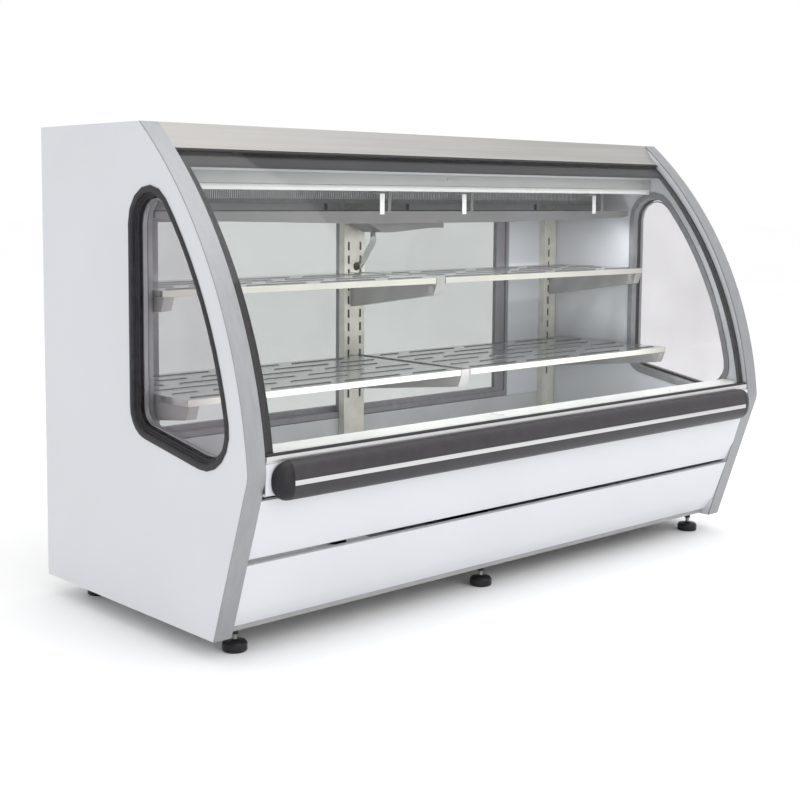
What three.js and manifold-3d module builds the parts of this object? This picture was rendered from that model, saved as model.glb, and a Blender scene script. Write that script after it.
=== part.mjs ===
// Refrigerated deli case with a curved tilting front glass, two shelf levels and sliding rear doors.
// Millimetres. +Z is up, the front faces -Y, the length runs along X and the floor is Z = 0.
import * as THREE from "three";
import { mergeVertices } from "three/addons/utils/BufferGeometryUtils.js";
import Module from "manifold-3d";

const wasm = await Module();
wasm.setup();

// ---------------------------------------------------------------- driving sizes
const LENGTH = 2000; // over the two end panels
const PANEL_TOP = 1242; // top edge of the end panels
const PANEL_FOOT = 50; // bottom edge of the end panels
const WALL = 50; // thickness of an end panel
const TOP_DEPTH = 477; // back plane to the front corner of the top
const ELBOW_DEPTH = 899; // back plane to the elbow of the front edge
const ELBOW_HEIGHT = 449;
const FOOT_DEPTH = 766; // back plane to the front bottom corner
const FRONT_RADIUS = 1158; // curve of the front edge above the elbow
const ELBOW_RADIUS = 70;

const TRIM_THICK = 3;
const GAP = 0.4; // between pieces that touch

const RAIL_SETBACK = 3; // front rail behind the elbow of the trim
const RAIL_FOOT = 402;
const BUMPER_REACH = 32;
const BUMPER_HEIGHT = 93;
const BUMPER_FOOT = 388;
const CAP_LENGTH = 43;
const CAP_MARGIN = 15; // end panel to bumper end
const STRIPE_HEIGHT = 11.4;
const STRIPE_DROP = 3.5; // centre of the stripe below the bumper's middle
const STRIPE_PROUD = 0.5;

const GLASS_THICK = 6;
const GLASS_SIDE_GAP = 4;
const GLASS_TOP = { depth: 531, height: PANEL_TOP - 68 };
const GLASS_FOOT = { depth: 887.5, height: 485 };
const GLASS_RADIUS = 1146;
const PIVOT = { depth: 889.5, height: 476 };
const PIVOT_RADIUS = 3.5;
const GLASS_LIP = { front: 491, back: 494 }; // tops of the rail's two legs

const WINDOW_BACK = 422; // back plane to the rear edge of the window rubber
const WINDOW_MARGIN = 55; // front curve of the case to the window rubber
const WINDOW_SILL = 495; // height of the sloping bottom edge at the rear edge
const WINDOW_SLOPE = THREE.MathUtils.degToRad(10);
const WINDOW_ROUND = { top: 93, rear: 75, front: 100 };
const RUBBER_LIP = 8; // overlap of the rubber on the panel
const RUBBER_FACE = 16; // width of the rubber's outer face
const RUBBER_PROUD = 4;
const UNIT_SEAT = 26; // outline of the rubber to its glass opening
const UNIT_THICK = 20; // double glazing, over both panes
const PANE = 4;

const TANK_FLOOR = 300;
const TANK_WALL = 48;
const TANK_UNDER = 258;
const TANK_BACK_TOP = 385;

const STANDARD_DEPTH = 105; // back plane to the slotted face
const STANDARD_FLANGE = 24;
const STANDARD_WIDTH = { middle: 82, side: 60 };
const SLOT_COLUMN = 23.5; // slot column from the centre of the middle standard
const SLOT_PITCH = 41.4;
const SLOT_FIRST = 462;
const SLOT = { width: 8, height: 25 };

const SHELF_REAR = 130; // back plane to the rear edge of a shelf
const SHELF_SHEET = 2;
const SHELF_LIP = 17;
const SHELF_GAP = 38; // between the left and right shelf
const SHELF_CLEAR = 5; // shelf to end panel
const BRACKET_WIDTH = { middle: 34, side: 30 };
const BRACKET_ROOT = 106; // height of a bracket at the standard
const BRACKET_TIP = 50;

const CANOPY_UNDER = PANEL_TOP - 112;
const ROOF_FOLD = PANEL_TOP - 36; // height of the fold between the roof and its front slope
const COIL = {
  front: 400,
  back: 190,
  under: CANOPY_UNDER - 83,
  top: CANOPY_UNDER - 42,
  clearLeft: 45,
  clearRight: 92,
};
const TRAY = {
  front: 430,
  back: 150,
  rim: CANOPY_UNDER - 102,
  floor: CANOPY_UNDER - 136,
  clear: 20,
  sheet: 2,
};
const SUMP = { deep: TRAY.floor - 32, shallow: TRAY.floor - 20 };
const HANGERS = { front: [-155, 178, 790], rear: [-780, -155, 178, 780] };
const SPOUT = { x: 15, depth: 172, foot: TRAY.floor - 46, radius: 8 };
const HOSE_RADIUS = 9.5;
const HOSE_HOLE = { x: 8, height: SPOUT.foot - 93, radius: 13 };
const LAMP = { under: CANOPY_UNDER - 47, middle: CANOPY_UNDER - 39, seat: CANOPY_UNDER - 31 };
const SLOT_COUNT = Math.floor((CANOPY_UNDER - 190 - SLOT_FIRST) / SLOT_PITCH) + 1;

// The shelves share out the space between the tank floor and the tray.
const SHELF_SPACE = TRAY.floor - TANK_FLOOR;
const SHELF_LEVELS = [
  { name: "lower", top: TANK_FLOOR + (SHELF_SPACE * 283) / 694, depth: 585 },
  { name: "upper", top: TANK_FLOOR + (SHELF_SPACE * 538) / 694, depth: 482 },
];

const DOORWAY = { half: 716, foot: 404, top: TRAY.floor + 16 };
const TRACK_FRAME = 12;
const DOOR_OVERLAP = 64;
const DOOR_THICK = 18;
const DOOR_STILE = 40;
const DOOR_RAIL = { foot: 20, top: 22 };
const PULL = { drop: 216, length: 150, half: 14, sunk: 10 }; // drop from the top of the door
const DOOR_TRACK_DEPTH = { outer: 30, inner: 56 }; // back plane to the rear face of each door
const REAR_WALL = { back: 52, front: 80 };

const FOOT_ROWS = { front: 716, rear: 100 }; // back plane to the feet
const FOOT_INSET = 95; // end of the case to the corner feet
const FOOT_MIDDLE = -65;
const PAD = { radius: 30.5, height: 24 };
const STUD_RADIUS = 5;
const FRAME_FOOT = 54;
const FRAME_TOP = 86;

const FAN = { x: 580, height: 170, radius: 62 };

// ---------------------------------------------------------------- derived places
const HALF = LENGTH / 2;
const INNER = HALF - WALL; // inner face of an end panel
const SPAN = INNER - GAP; // end of a piece that runs from panel to panel
const RAIL_FACE = ELBOW_DEPTH - RAIL_SETBACK;
const BUMPER_BACK = RAIL_FACE + GAP;
const BUMPER_FRONT = BUMPER_BACK + BUMPER_REACH;
const BUMPER_MIDDLE = BUMPER_FOOT + BUMPER_HEIGHT / 2;
const BACK = (BUMPER_FRONT + STRIPE_PROUD) / 2; // Y of the back plane, so the origin is central

// A point of a side profile, from its depth in front of the back plane and its height.
const at = (depth, height) => new THREE.Vector2(BACK - depth, height);
const path = (rows) => rows.map(([depth, height]) => at(depth, height));
const flat = (rows) => rows.map(([x, y]) => new THREE.Vector2(x, y));

// ---------------------------------------------------------------- solids
// A flat outline with its holes, run up from Z = 0.
function extrude(outline, length, holes = []) {
  const prism = (loop, start, depth) => {
    const options = { depth, bevelEnabled: false };
    return new THREE.ExtrudeGeometry(new THREE.Shape(loop), options).translate(0, 0, start);
  };
  const solid = prism(outline, 0, length);
  return holes.length ? cut(solid, holes.map((hole) => prism(hole, -1, length + 2))) : solid;
}

// A side profile (Y, Z) run along X.
function alongX(outline, x0, x1, holes = []) {
  const turn = new THREE.Matrix4().set(0, 0, 1, x0, 1, 0, 0, 0, 0, 1, 0, 0, 0, 0, 0, 1);
  return extrude(outline, x1 - x0, holes).applyMatrix4(turn);
}

// A front view (X, Z) run from the rear depth to the front depth.
function alongDepth(outline, rear, front, holes = []) {
  const turn = new THREE.Matrix4().set(1, 0, 0, 0, 0, 0, -1, BACK - rear, 0, 1, 0, 0, 0, 0, 0, 1);
  return extrude(outline, front - rear, holes).applyMatrix4(turn);
}

function block(x0, x1, rear, front, z0, z1) {
  const box = new THREE.BoxGeometry(x1 - x0, front - rear, z1 - z0);
  return box.translate((x0 + x1) / 2, BACK - (rear + front) / 2, (z0 + z1) / 2);
}

function rect(x0, x1, z0, z1) {
  return flat([
    [x0, z0],
    [x1, z0],
    [x1, z1],
    [x0, z1],
  ]);
}

function toSolid(geometry) {
  const bare = geometry.index ? geometry.toNonIndexed() : geometry.clone();
  bare.deleteAttribute("normal");
  bare.deleteAttribute("uv");
  const merged = mergeVertices(bare, 1e-4);
  const vertProperties = merged.getAttribute("position").array;
  const triVerts = new Uint32Array(merged.index.array);
  return new wasm.Manifold(new wasm.Mesh({ numProp: 3, vertProperties, triVerts }));
}

function toGeometry(body) {
  const mesh = body.getMesh();
  const geometry = new THREE.BufferGeometry();
  geometry.setAttribute("position", new THREE.BufferAttribute(mesh.vertProperties, 3));
  geometry.setIndex(new THREE.BufferAttribute(mesh.triVerts, 1));
  geometry.computeVertexNormals();
  return geometry;
}

function join(pieces) {
  return toGeometry(pieces.map(toSolid).reduce((a, b) => a.add(b)));
}

function cut(base, tools) {
  return toGeometry(tools.map(toSolid).reduce((a, b) => a.subtract(b), toSolid(base)));
}

// ---------------------------------------------------------------- curves
function arc(centre, radius, from, to, steps) {
  const points = [];
  for (let i = 0; i <= steps; i++) {
    const angle = from + ((to - from) * i) / steps;
    const spoke = new THREE.Vector2(Math.cos(angle), Math.sin(angle));
    points.push(spoke.multiplyScalar(radius).add(centre));
  }
  return points;
}

function ring(centre, radius, sides) {
  return arc(centre, radius, 0, 2 * Math.PI, sides).slice(0, -1);
}

// Centre of the arc of a given radius through two points, on the case's side of them.
function arcCentre(low, high, radius) {
  const middle = low.clone().add(high).multiplyScalar(0.5);
  const chord = high.clone().sub(low);
  const rise = Math.sqrt(radius ** 2 - chord.lengthSq() / 4);
  const normal = new THREE.Vector2(chord.y, -chord.x).normalize();
  return middle.addScaledVector(normal, rise);
}

// Centre of a fillet between a straight line and the inside of a large arc.
function filletCentre(start, along, inward, radius, bigCentre, bigRadius) {
  const base = start.clone().addScaledVector(inward, radius).sub(bigCentre);
  const b = base.dot(along);
  const q = base.lengthSq() - (bigRadius - radius) ** 2;
  return base.addScaledVector(along, -b + Math.sqrt(b * b - q)).add(bigCentre);
}

const angleOf = (vector) => (vector.angle() + 2 * Math.PI) % (2 * Math.PI);

// A bent sheet: the line of its outer face and the same line moved in by its thickness.
function sheet(line, thick) {
  const inner = line.map((point, i) => {
    const before = line[Math.max(i - 1, 0)];
    const after = line[Math.min(i + 1, line.length - 1)];
    const a = (i > 0 ? point.clone().sub(before) : after.clone().sub(point)).normalize();
    const b = (i < line.length - 1 ? after.clone().sub(point) : a.clone()).normalize();
    const normalA = new THREE.Vector2(a.y, -a.x);
    const normalB = new THREE.Vector2(b.y, -b.x);
    const mitre = normalA.clone().add(normalB);
    return point.clone().addScaledVector(mitre, thick / (1 + normalA.dot(normalB)));
  });
  return [...line, ...inner.reverse()];
}

// A superellipse quarter turn by quarter turn: a rounded form that is fuller than an ellipse.
const FULLNESS = 0.78;
const round = (value) => Math.sign(value) * Math.abs(value) ** FULLNESS;

// ---------------------------------------------------------------- front edge of the case
const footCorner = at(FOOT_DEPTH, PANEL_FOOT);
const elbow = at(ELBOW_DEPTH, ELBOW_HEIGHT);
const frontCentre = arcCentre(elbow, at(TOP_DEPTH, PANEL_TOP), FRONT_RADIUS);
const incline = elbow.clone().sub(footCorner).normalize();
const inclineIn = new THREE.Vector2(incline.y, -incline.x);
const elbowCentre = filletCentre(
  footCorner,
  incline,
  inclineIn,
  ELBOW_RADIUS,
  frontCentre,
  FRONT_RADIUS,
);

// The line from the front bottom corner over the elbow to the top, moved in by inset.
function frontEdge(inset) {
  const rise = -(inclineIn.y * inset) / incline.y;
  const foot = footCorner.clone().addScaledVector(inclineIn, inset).addScaledVector(incline, rise);
  const low = angleOf(inclineIn.clone().negate());
  const seam = angleOf(elbowCentre.clone().sub(frontCentre));
  const radius = FRONT_RADIUS - inset;
  const high = Math.PI - Math.asin((PANEL_TOP - frontCentre.y) / radius);
  const bend = arc(elbowCentre, ELBOW_RADIUS - inset, low, seam, 5);
  return [foot, ...bend, ...arc(frontCentre, radius, seam, high, 20).slice(1)];
}

// ---------------------------------------------------------------- window outline
const windowCorner = at(WINDOW_BACK, WINDOW_SILL);
const windowRadius = FRONT_RADIUS - WINDOW_MARGIN;
const sillForward = new THREE.Vector2(-Math.cos(WINDOW_SLOPE), -Math.sin(WINDOW_SLOPE));
const sillUp = new THREE.Vector2(sillForward.y, -sillForward.x);
const windowFront = filletCentre(
  windowCorner,
  sillForward,
  sillUp,
  WINDOW_ROUND.front,
  frontCentre,
  windowRadius,
);
const windowTop = filletCentre(
  windowCorner,
  new THREE.Vector2(0, 1),
  new THREE.Vector2(-1, 0),
  WINDOW_ROUND.top,
  frontCentre,
  windowRadius,
);
const windowRear = new THREE.Vector2(
  windowCorner.x - WINDOW_ROUND.rear,
  windowCorner.y + (WINDOW_ROUND.rear * (1 - Math.sin(WINDOW_SLOPE))) / Math.cos(WINDOW_SLOPE),
);

function windowOutline(inset) {
  const top = angleOf(windowTop.clone().sub(frontCentre));
  const front = angleOf(windowFront.clone().sub(frontCentre));
  const under = angleOf(sillUp.clone().negate());
  return [
    ...arc(windowTop, WINDOW_ROUND.top - inset, 0, top, 6),
    ...arc(frontCentre, windowRadius - inset, top, front, 10).slice(1, -1),
    ...arc(windowFront, WINDOW_ROUND.front - inset, front, under, 6),
    ...arc(windowRear, WINDOW_ROUND.rear - inset, under, 2 * Math.PI, 5),
  ];
}

// A closed band around the window: each corner of its section is an inset and a distance from X = 0.
function windowBand(section, side) {
  const rings = section.map(([inset]) => windowOutline(inset));
  const turn = rings[0].length;
  const order = side > 0 ? -1 : 1;
  const corners = [];
  const faces = [];
  section.forEach(([, x], i) => rings[i].forEach((p) => corners.push(side * x, p.x, p.y)));
  for (let i = 0; i < section.length; i++) {
    for (let j = 0; j < turn; j++) {
      const next = (i + 1) % section.length;
      const a = i * turn + j;
      const b = i * turn + ((j + 1) % turn);
      const c = next * turn + j;
      const d = next * turn + ((j + 1) % turn);
      faces.push(...(order > 0 ? [a, b, d, a, d, c] : [a, d, b, a, c, d]));
    }
  }
  const geometry = new THREE.BufferGeometry();
  geometry.setAttribute("position", new THREE.Float32BufferAttribute(corners, 3));
  geometry.setIndex(faces);
  return geometry;
}

// ---------------------------------------------------------------- finishes
const finish = (color, roughness, metalness) => ({ color, roughness, metalness });
const WHITE_PAINT = finish(0xeceef0, 0.35, 0);
const SATIN_ALUMINIUM = finish(0xa9aaad, 0.38, 0.9);
const STAINLESS = finish(0xb3aca3, 0.3, 1);
const CHARCOAL = finish(0x3f3c42, 0.45, 0);
const RUBBER = finish(0x2c2b2e, 0.7, 0);
const GLASS = finish(0xdfe8e6, 0.05, 0);
const WHITE_PLASTIC = finish(0xe9ebe8, 0.4, 0);
const GALVANISED = finish(0xb9b9b2, 0.45, 0.7);
const DARK_ALUMINIUM = finish(0x6c6970, 0.45, 0.5);
const BLACK_PLASTIC = finish(0x1b1b1d, 0.4, 0);

const deliCase = new THREE.Group();

function add(name, geometry, look) {
  const mesh = new THREE.Mesh(geometry, new THREE.MeshStandardMaterial(look));
  mesh.name = name;
  deliCase.add(mesh);
}

const SIDES = [
  { side: -1, name: "left" },
  { side: 1, name: "right" },
];
const span = (side, inner, outer) => (side > 0 ? [inner, outer] : [-outer, -inner]);

// ---------------------------------------------------------------- ends, windows, top
function endPanel({ side, name }) {
  const outline = [...frontEdge(TRIM_THICK + GAP), at(0, PANEL_TOP), at(0, PANEL_FOOT)];
  const [x0, x1] = span(side, INNER, HALF);
  add("end_panel_" + name, alongX(outline, x0, x1, [windowOutline(RUBBER_LIP)]), WHITE_PAINT);
}

function edgeTrim({ side, name }) {
  const outline = [...frontEdge(0), ...frontEdge(TRIM_THICK).reverse()];
  const [x0, x1] = span(side, INNER, HALF);
  add("edge_trim_" + name, alongX(outline, x0, x1), SATIN_ALUMINIUM);
}

const unitCentre = (HALF + INNER) / 2;

function windowRubber({ side, name }) {
  const seat = RUBBER_LIP + GAP;
  const glassOut = unitCentre + UNIT_THICK / 2 + GAP;
  const glassIn = unitCentre - UNIT_THICK / 2 - GAP;
  const outFace = HALF + RUBBER_PROUD;
  const section = [
    [0, HALF + GAP],
    [seat, HALF + GAP],
    [seat, INNER - GAP],
    [2, INNER - GAP],
    [2, INNER - RUBBER_PROUD],
    [UNIT_SEAT - 6, INNER - RUBBER_PROUD],
    [UNIT_SEAT, glassIn],
    [UNIT_SEAT - 6, glassIn],
    [UNIT_SEAT - 6, glassOut],
    [UNIT_SEAT, glassOut],
    [UNIT_SEAT, glassOut + 4],
    [UNIT_SEAT - 5, glassOut + 4],
    [UNIT_SEAT - 5, HALF - 6],
    [RUBBER_FACE, HALF - 6],
    [RUBBER_FACE, HALF + 1],
    [RUBBER_FACE - 4, outFace],
    [4, outFace],
    [0, HALF + 2],
  ];
  add("window_rubber_" + name, windowBand(section, side), RUBBER);
}

// Two panes on an edge spacer; a small port in the spacer vents the space between them.
function windowUnit({ side, name }) {
  const edge = UNIT_SEAT - 6 + GAP;
  const [x0, x1] = span(side, unitCentre - UNIT_THICK / 2, unitCentre + UNIT_THICK / 2);
  const slab = alongX(windowOutline(edge), x0, x1);
  const space = alongX(windowOutline(edge + 10), x0 + PANE, x1 - PANE);
  const port = block(x0 + PANE + 4, x1 - PANE - 4, WINDOW_BACK + 10, WINDOW_BACK + 60, 800, 804);
  add("window_unit_" + name, cut(slab, [space, port]), GLASS);
}

function topCover() {
  const thick = 1.5;
  const line = path([
    [518, GLASS_TOP.height],
    [526, GLASS_TOP.height + 6],
    [499, ROOF_FOLD],
    [TOP_DEPTH, PANEL_TOP],
    [0, PANEL_TOP],
    [0, PANEL_TOP - 26],
  ]);
  add("top_cover", alongX(sheet(line, thick), -SPAN, SPAN), STAINLESS);
}

function canopyCore() {
  const roof = PANEL_TOP - 4;
  const outline = path([
    [30, CANOPY_UNDER],
    [30, roof],
    [TOP_DEPTH - 6, roof],
    [TOP_DEPTH + 14, ROOF_FOLD],
    [512, GLASS_TOP.height + 8],
    [508, CANOPY_UNDER],
  ]);
  add("canopy_core", alongX(outline, -SPAN, SPAN), WHITE_PAINT);
}

// ---------------------------------------------------------------- front glass and its hinge
const glassFoot = at(GLASS_FOOT.depth, GLASS_FOOT.height);
const glassTop = at(GLASS_TOP.depth, GLASS_TOP.height);
const glassCentre = arcCentre(glassFoot, glassTop, GLASS_RADIUS);

function frontGlass() {
  const low = angleOf(glassFoot.clone().sub(glassCentre));
  const high = angleOf(glassTop.clone().sub(glassCentre));
  const outer = arc(glassCentre, GLASS_RADIUS, low, high, 20);
  const inner = arc(glassCentre, GLASS_RADIUS - GLASS_THICK, high, low, 20);
  const end = INNER - GLASS_SIDE_GAP;
  add("front_glass", alongX([...outer, ...inner], -end, end), GLASS);
}

// The glass stands in a metal rail, and the round foot of the rail turns in the cup of the front rail.
function glassRail() {
  const pivot = at(PIVOT.depth, PIVOT.height);
  const floor = GLASS_FOOT.height - 1.4;
  const under = PIVOT.height + 4;
  const front = RAIL_FACE - 1.5;
  const glassIn = GLASS_FOOT.depth - GLASS_THICK - 0.5;
  const legs = path([
    [PIVOT.depth - 12.5, under],
    [front, under],
    [front, GLASS_LIP.front],
    [GLASS_FOOT.depth + 0.6, GLASS_LIP.front],
    [GLASS_FOOT.depth + 0.6, floor],
    [glassIn, floor],
    [glassIn - 1.4, GLASS_LIP.back],
    [PIVOT.depth - 12.5, GLASS_LIP.back],
  ]);
  const end = INNER - GLASS_SIDE_GAP;
  const barrel = alongX(ring(pivot, PIVOT_RADIUS, 16), -end, end);
  const neck = block(-end, end, PIVOT.depth - 1, PIVOT.depth + 3, PIVOT.height + 1, under + 1);
  add("glass_rail", join([barrel, neck, alongX(legs, -end, end)]), SATIN_ALUMINIUM);
}

function frontRail() {
  const cup = alongX(ring(at(PIVOT.depth, PIVOT.height), PIVOT_RADIUS + GAP, 20), -HALF, HALF);
  const back = RAIL_FACE - 34;
  const cupBack = PIVOT.depth - 12.5;
  const cupTop = PIVOT.height + 3.4;
  const wallTop = PIVOT.height - 1.2;
  const shell = path([
    [RAIL_FACE - 6, RAIL_FOOT],
    [RAIL_FACE, RAIL_FOOT + 6],
    [RAIL_FACE, wallTop],
    [PIVOT.depth, wallTop],
    [PIVOT.depth, cupTop],
    [cupBack, cupTop],
    [cupBack, cupTop - 13],
    [back, wallTop - 22],
    [back, RAIL_FOOT],
  ]);
  const space = path([
    [RAIL_FACE - 4, RAIL_FOOT + 6],
    [RAIL_FACE - 4, wallTop - 8],
    [cupBack + 4, wallTop - 8],
    [cupBack + 4, wallTop - 12],
    [back + 4, wallTop - 26],
    [back + 4, RAIL_FOOT + 6],
  ]);
  add("front_rail", cut(alongX(shell, -SPAN, SPAN, [space]), [cup]), WHITE_PAINT);
}

// ---------------------------------------------------------------- bumper
const bumperEnd = INNER - CAP_MARGIN - CAP_LENGTH;
const STRIPE_FOOT = BUMPER_MIDDLE - STRIPE_DROP - STRIPE_HEIGHT / 2;

// The bumper's D section in 14 steps, shrunk about the middle of its back. Both back corners are
// eased, and the upper one clears the glass rail when the glass is tipped forward.
function bumperSection(scale, inset = 0) {
  const half = BUMPER_HEIGHT / 2 - inset;
  const reach = BUMPER_REACH - inset;
  const ease = [
    [0, half - 8],
    [1.8, half - 3.8],
    [7, half - 0.3],
  ];
  const points = ease.map(([out, rise]) => [out, -rise]);
  for (let i = 1; i < 14; i++) {
    const turn = -Math.PI / 2 + (Math.PI * i) / 14;
    const out = reach * round(Math.cos(turn));
    if (out > 8) points.push([out, half * round(Math.sin(turn))]);
  }
  points.push(...ease.reverse());
  return points.map(([out, rise]) => at(BUMPER_BACK + out * scale, BUMPER_MIDDLE + rise * scale));
}

function bumperBody() {
  const wall = 6;
  const hollow = bumperSection(1, wall).map((p) => p.clone().add(new THREE.Vector2(-3, 0)));
  const groove = block(
    -HALF,
    HALF,
    BUMPER_FRONT - 3,
    BUMPER_FRONT + 4,
    STRIPE_FOOT - GAP,
    STRIPE_FOOT + STRIPE_HEIGHT + GAP,
  );
  const bar = alongX(bumperSection(1), -bumperEnd, bumperEnd, [hollow]);
  add("bumper_body", cut(bar, [groove]), CHARCOAL);
}

function bumperStripe() {
  const top = STRIPE_FOOT + STRIPE_HEIGHT;
  const [rear, front] = [BUMPER_FRONT - 3 + GAP, BUMPER_FRONT + STRIPE_PROUD];
  const stripe = block(-bumperEnd, bumperEnd, rear, front, STRIPE_FOOT, top);
  add("bumper_stripe", stripe, SATIN_ALUMINIUM);
}

// A moulded end: the D section shrinks along the same full round that shapes the section.
function bumperCap({ side, name }) {
  const steps = 7;
  const corners = [];
  const faces = [];
  const start = bumperEnd + GAP;
  for (let i = 0; i <= steps; i++) {
    const turn = (0.94 * Math.PI * i) / (2 * steps);
    const x = side * (start + CAP_LENGTH * Math.sin(turn));
    bumperSection(round(Math.cos(turn))).forEach((p) => corners.push(x, p.x, p.y));
  }
  const turn = corners.length / 3 / (steps + 1);
  const quad = (a, b, c, d) => faces.push(...(side > 0 ? [a, b, c, a, c, d] : [a, c, b, a, d, c]));
  for (let i = 0; i < steps; i++) {
    for (let j = 0; j < turn; j++) {
      const k = (j + 1) % turn;
      quad(i * turn + k, i * turn + j, (i + 1) * turn + j, (i + 1) * turn + k);
    }
  }
  for (const [base, flip] of [[0, true], [steps * turn, false]]) {
    for (let j = 1; j < turn - 1; j++) {
      const fan = [base, base + j + 1, base + j];
      faces.push(...(flip === side > 0 ? fan.reverse() : fan));
    }
  }
  const geometry = new THREE.BufferGeometry();
  geometry.setAttribute("position", new THREE.Float32BufferAttribute(corners, 3));
  geometry.setIndex(faces);
  add("bumper_cap_" + name, geometry, BLACK_PLASTIC);
}

// ---------------------------------------------------------------- lower front panels
function frontPanels() {
  const thick = 1.5;
  const upper = path([
    [806, 246],
    [821, 244],
    [850, 301],
    [878.5, 390],
    [864, 391],
  ]);
  const lower = path([
    [740, 73],
    [752, 71],
    [784, 116],
    [826, 232],
    [812, 234],
  ]);
  add("front_panel_upper", alongX(sheet(upper, thick), -SPAN, SPAN), WHITE_PAINT);
  add("front_panel_lower", alongX(sheet(lower, thick), -SPAN, SPAN), WHITE_PAINT);
}

// ---------------------------------------------------------------- tank, sill, base frame
const tankBack = REAR_WALL.front - TANK_WALL;
const tankFront = RAIL_FACE - 40;

function tank() {
  const outline = path([
    [tankBack, TANK_BACK_TOP],
    [tankBack, TANK_UNDER],
    [tankFront - 66, TANK_UNDER],
    [tankFront, 396],
    [tankFront, 476],
    [tankFront - TANK_WALL, 484],
    [tankFront - TANK_WALL - 36, TANK_FLOOR],
    [REAR_WALL.front, TANK_FLOOR],
    [REAR_WALL.front, TANK_BACK_TOP],
  ]);
  add("tank", alongX(outline, -SPAN, SPAN), GALVANISED);
}

function frontSill() {
  const line = path([
    [872, 489],
    [869, 496],
    [812, 500],
    [804, 496],
    [802, 474],
  ]);
  const end = INNER - RUBBER_PROUD - 1;
  add("front_sill", alongX(sheet(line, 2.5), -end, end), WHITE_PLASTIC);
}

const footColumns = [-(HALF - FOOT_INSET), FOOT_MIDDLE, HALF - FOOT_INSET];

function baseFrame() {
  const bar = 44;
  const rows = Object.values(FOOT_ROWS);
  const rails = rows.map((depth) =>
    block(-SPAN, SPAN, depth - bar / 2, depth + bar / 2, FRAME_FOOT, FRAME_TOP),
  );
  const ties = footColumns.map((x) =>
    block(x - bar / 2, x + bar / 2, FOOT_ROWS.rear, FOOT_ROWS.front, FRAME_FOOT, FRAME_TOP),
  );
  const deck = block(FOOT_MIDDLE, HALF - FOOT_INSET, 130, 520, FRAME_TOP - 3, FRAME_TOP);
  const holes = footColumns.flatMap((x) =>
    rows.map((depth) => {
      const hole = new THREE.CylinderGeometry(STUD_RADIUS + 0.8, STUD_RADIUS + 0.8, 80, 16);
      return hole.rotateX(Math.PI / 2).translate(x, BACK - depth, FRAME_FOOT);
    }),
  );
  add("base_frame", cut(join([...rails, ...ties, deck]), holes), GALVANISED);
}

// A moulded pad, its jam nut and the stud that screws into the base frame.
function foot(name, x, depth) {
  const profile = flat([
    [0, 0],
    [PAD.radius - 2, 0],
    [PAD.radius, 3],
    [PAD.radius, PAD.height - 6],
    [PAD.radius - 4, PAD.height - 1],
    [15, PAD.height],
    [STUD_RADIUS, PAD.height + 3],
    [STUD_RADIUS, FRAME_TOP + 12],
    [0, FRAME_TOP + 12],
  ]);
  const turned = new THREE.LatheGeometry(profile, 16).rotateX(Math.PI / 2);
  const nut = new THREE.CylinderGeometry(10, 10, 8, 6).rotateX(Math.PI / 2);
  nut.translate(0, 0, FRAME_FOOT - 10);
  add(name, join([turned, nut]).translate(x, BACK - depth, 0), BLACK_PLASTIC);
}

// ---------------------------------------------------------------- standards, brackets, shelves
function slotColumn(x) {
  return Array.from({ length: SLOT_COUNT }, (_, i) => {
    const low = SLOT_FIRST + i * SLOT_PITCH - SLOT.height / 2;
    return rect(x - SLOT.width / 2, x + SLOT.width / 2, low, low + SLOT.height);
  });
}

function standard(name, centre, width, columns, extraHoles = []) {
  const sheetThick = 2;
  const low = TANK_FLOOR + GAP;
  const high = CANOPY_UNDER - GAP;
  const rear = STANDARD_DEPTH - STANDARD_FLANGE;
  const [x0, x1] = [centre - width / 2, centre + width / 2];
  const face = alongDepth(
    rect(x0, x1, low, high),
    STANDARD_DEPTH - sheetThick,
    STANDARD_DEPTH,
    [...columns.flatMap(slotColumn), ...extraHoles],
  );
  const flanges = [
    block(x0, x0 + sheetThick, rear, STANDARD_DEPTH - sheetThick / 2, low, high),
    block(x1 - sheetThick, x1, rear, STANDARD_DEPTH - sheetThick / 2, low, high),
  ];
  add("standard_" + name, join([face, ...flanges]), GALVANISED);
}

const sideStandard = INNER - 4 - STANDARD_WIDTH.side / 2;
const sideSlots = sideStandard - 8;

function standards() {
  const hoseHole = ring(new THREE.Vector2(HOSE_HOLE.x, HOSE_HOLE.height), HOSE_HOLE.radius, 16);
  standard("left", -sideStandard, STANDARD_WIDTH.side, [-sideSlots]);
  standard("middle", 0, STANDARD_WIDTH.middle, [-SLOT_COLUMN, SLOT_COLUMN], [hoseHole]);
  standard("right", sideStandard, STANDARD_WIDTH.side, [sideSlots]);
}

// A tapering channel, open at the top; the ledges of the middle one carry the shelf ends.
function bracket(name, level, x, width, ledges) {
  const wall = 2;
  const under = level.top - SHELF_LIP - GAP;
  const top = ledges ? level.top : under;
  const rear = STANDARD_DEPTH + GAP;
  const tip = level.depth - 12;
  const outline = path([
    [rear, top],
    [rear, level.top - BRACKET_ROOT],
    [tip, level.top - BRACKET_TIP],
    [level.depth, level.top - SHELF_LIP - 2],
    [level.depth, top],
  ]);
  const inside = path([
    [rear - 1, top + 1],
    [rear - 1, level.top - BRACKET_ROOT + wall],
    [tip - wall, level.top - BRACKET_TIP + wall],
    [level.depth - wall, level.top - SHELF_LIP - 2],
    [level.depth - wall, top + 1],
  ]);
  const outer = alongX(outline, x - width / 2, x + width / 2);
  const channel = cut(outer, [alongX(inside, x - width / 2 + wall, x + width / 2 - wall)]);
  const reach = width / 2 + 8;
  const shelf = (side) => {
    const [x0, x1] = span(side, width / 2 - 1, reach);
    return block(x + x0, x + x1, rear + 30, level.depth - 4, under - wall, under);
  };
  add(name, ledges ? join([channel, shelf(-1), shelf(1)]) : channel, GALVANISED);
}

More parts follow.
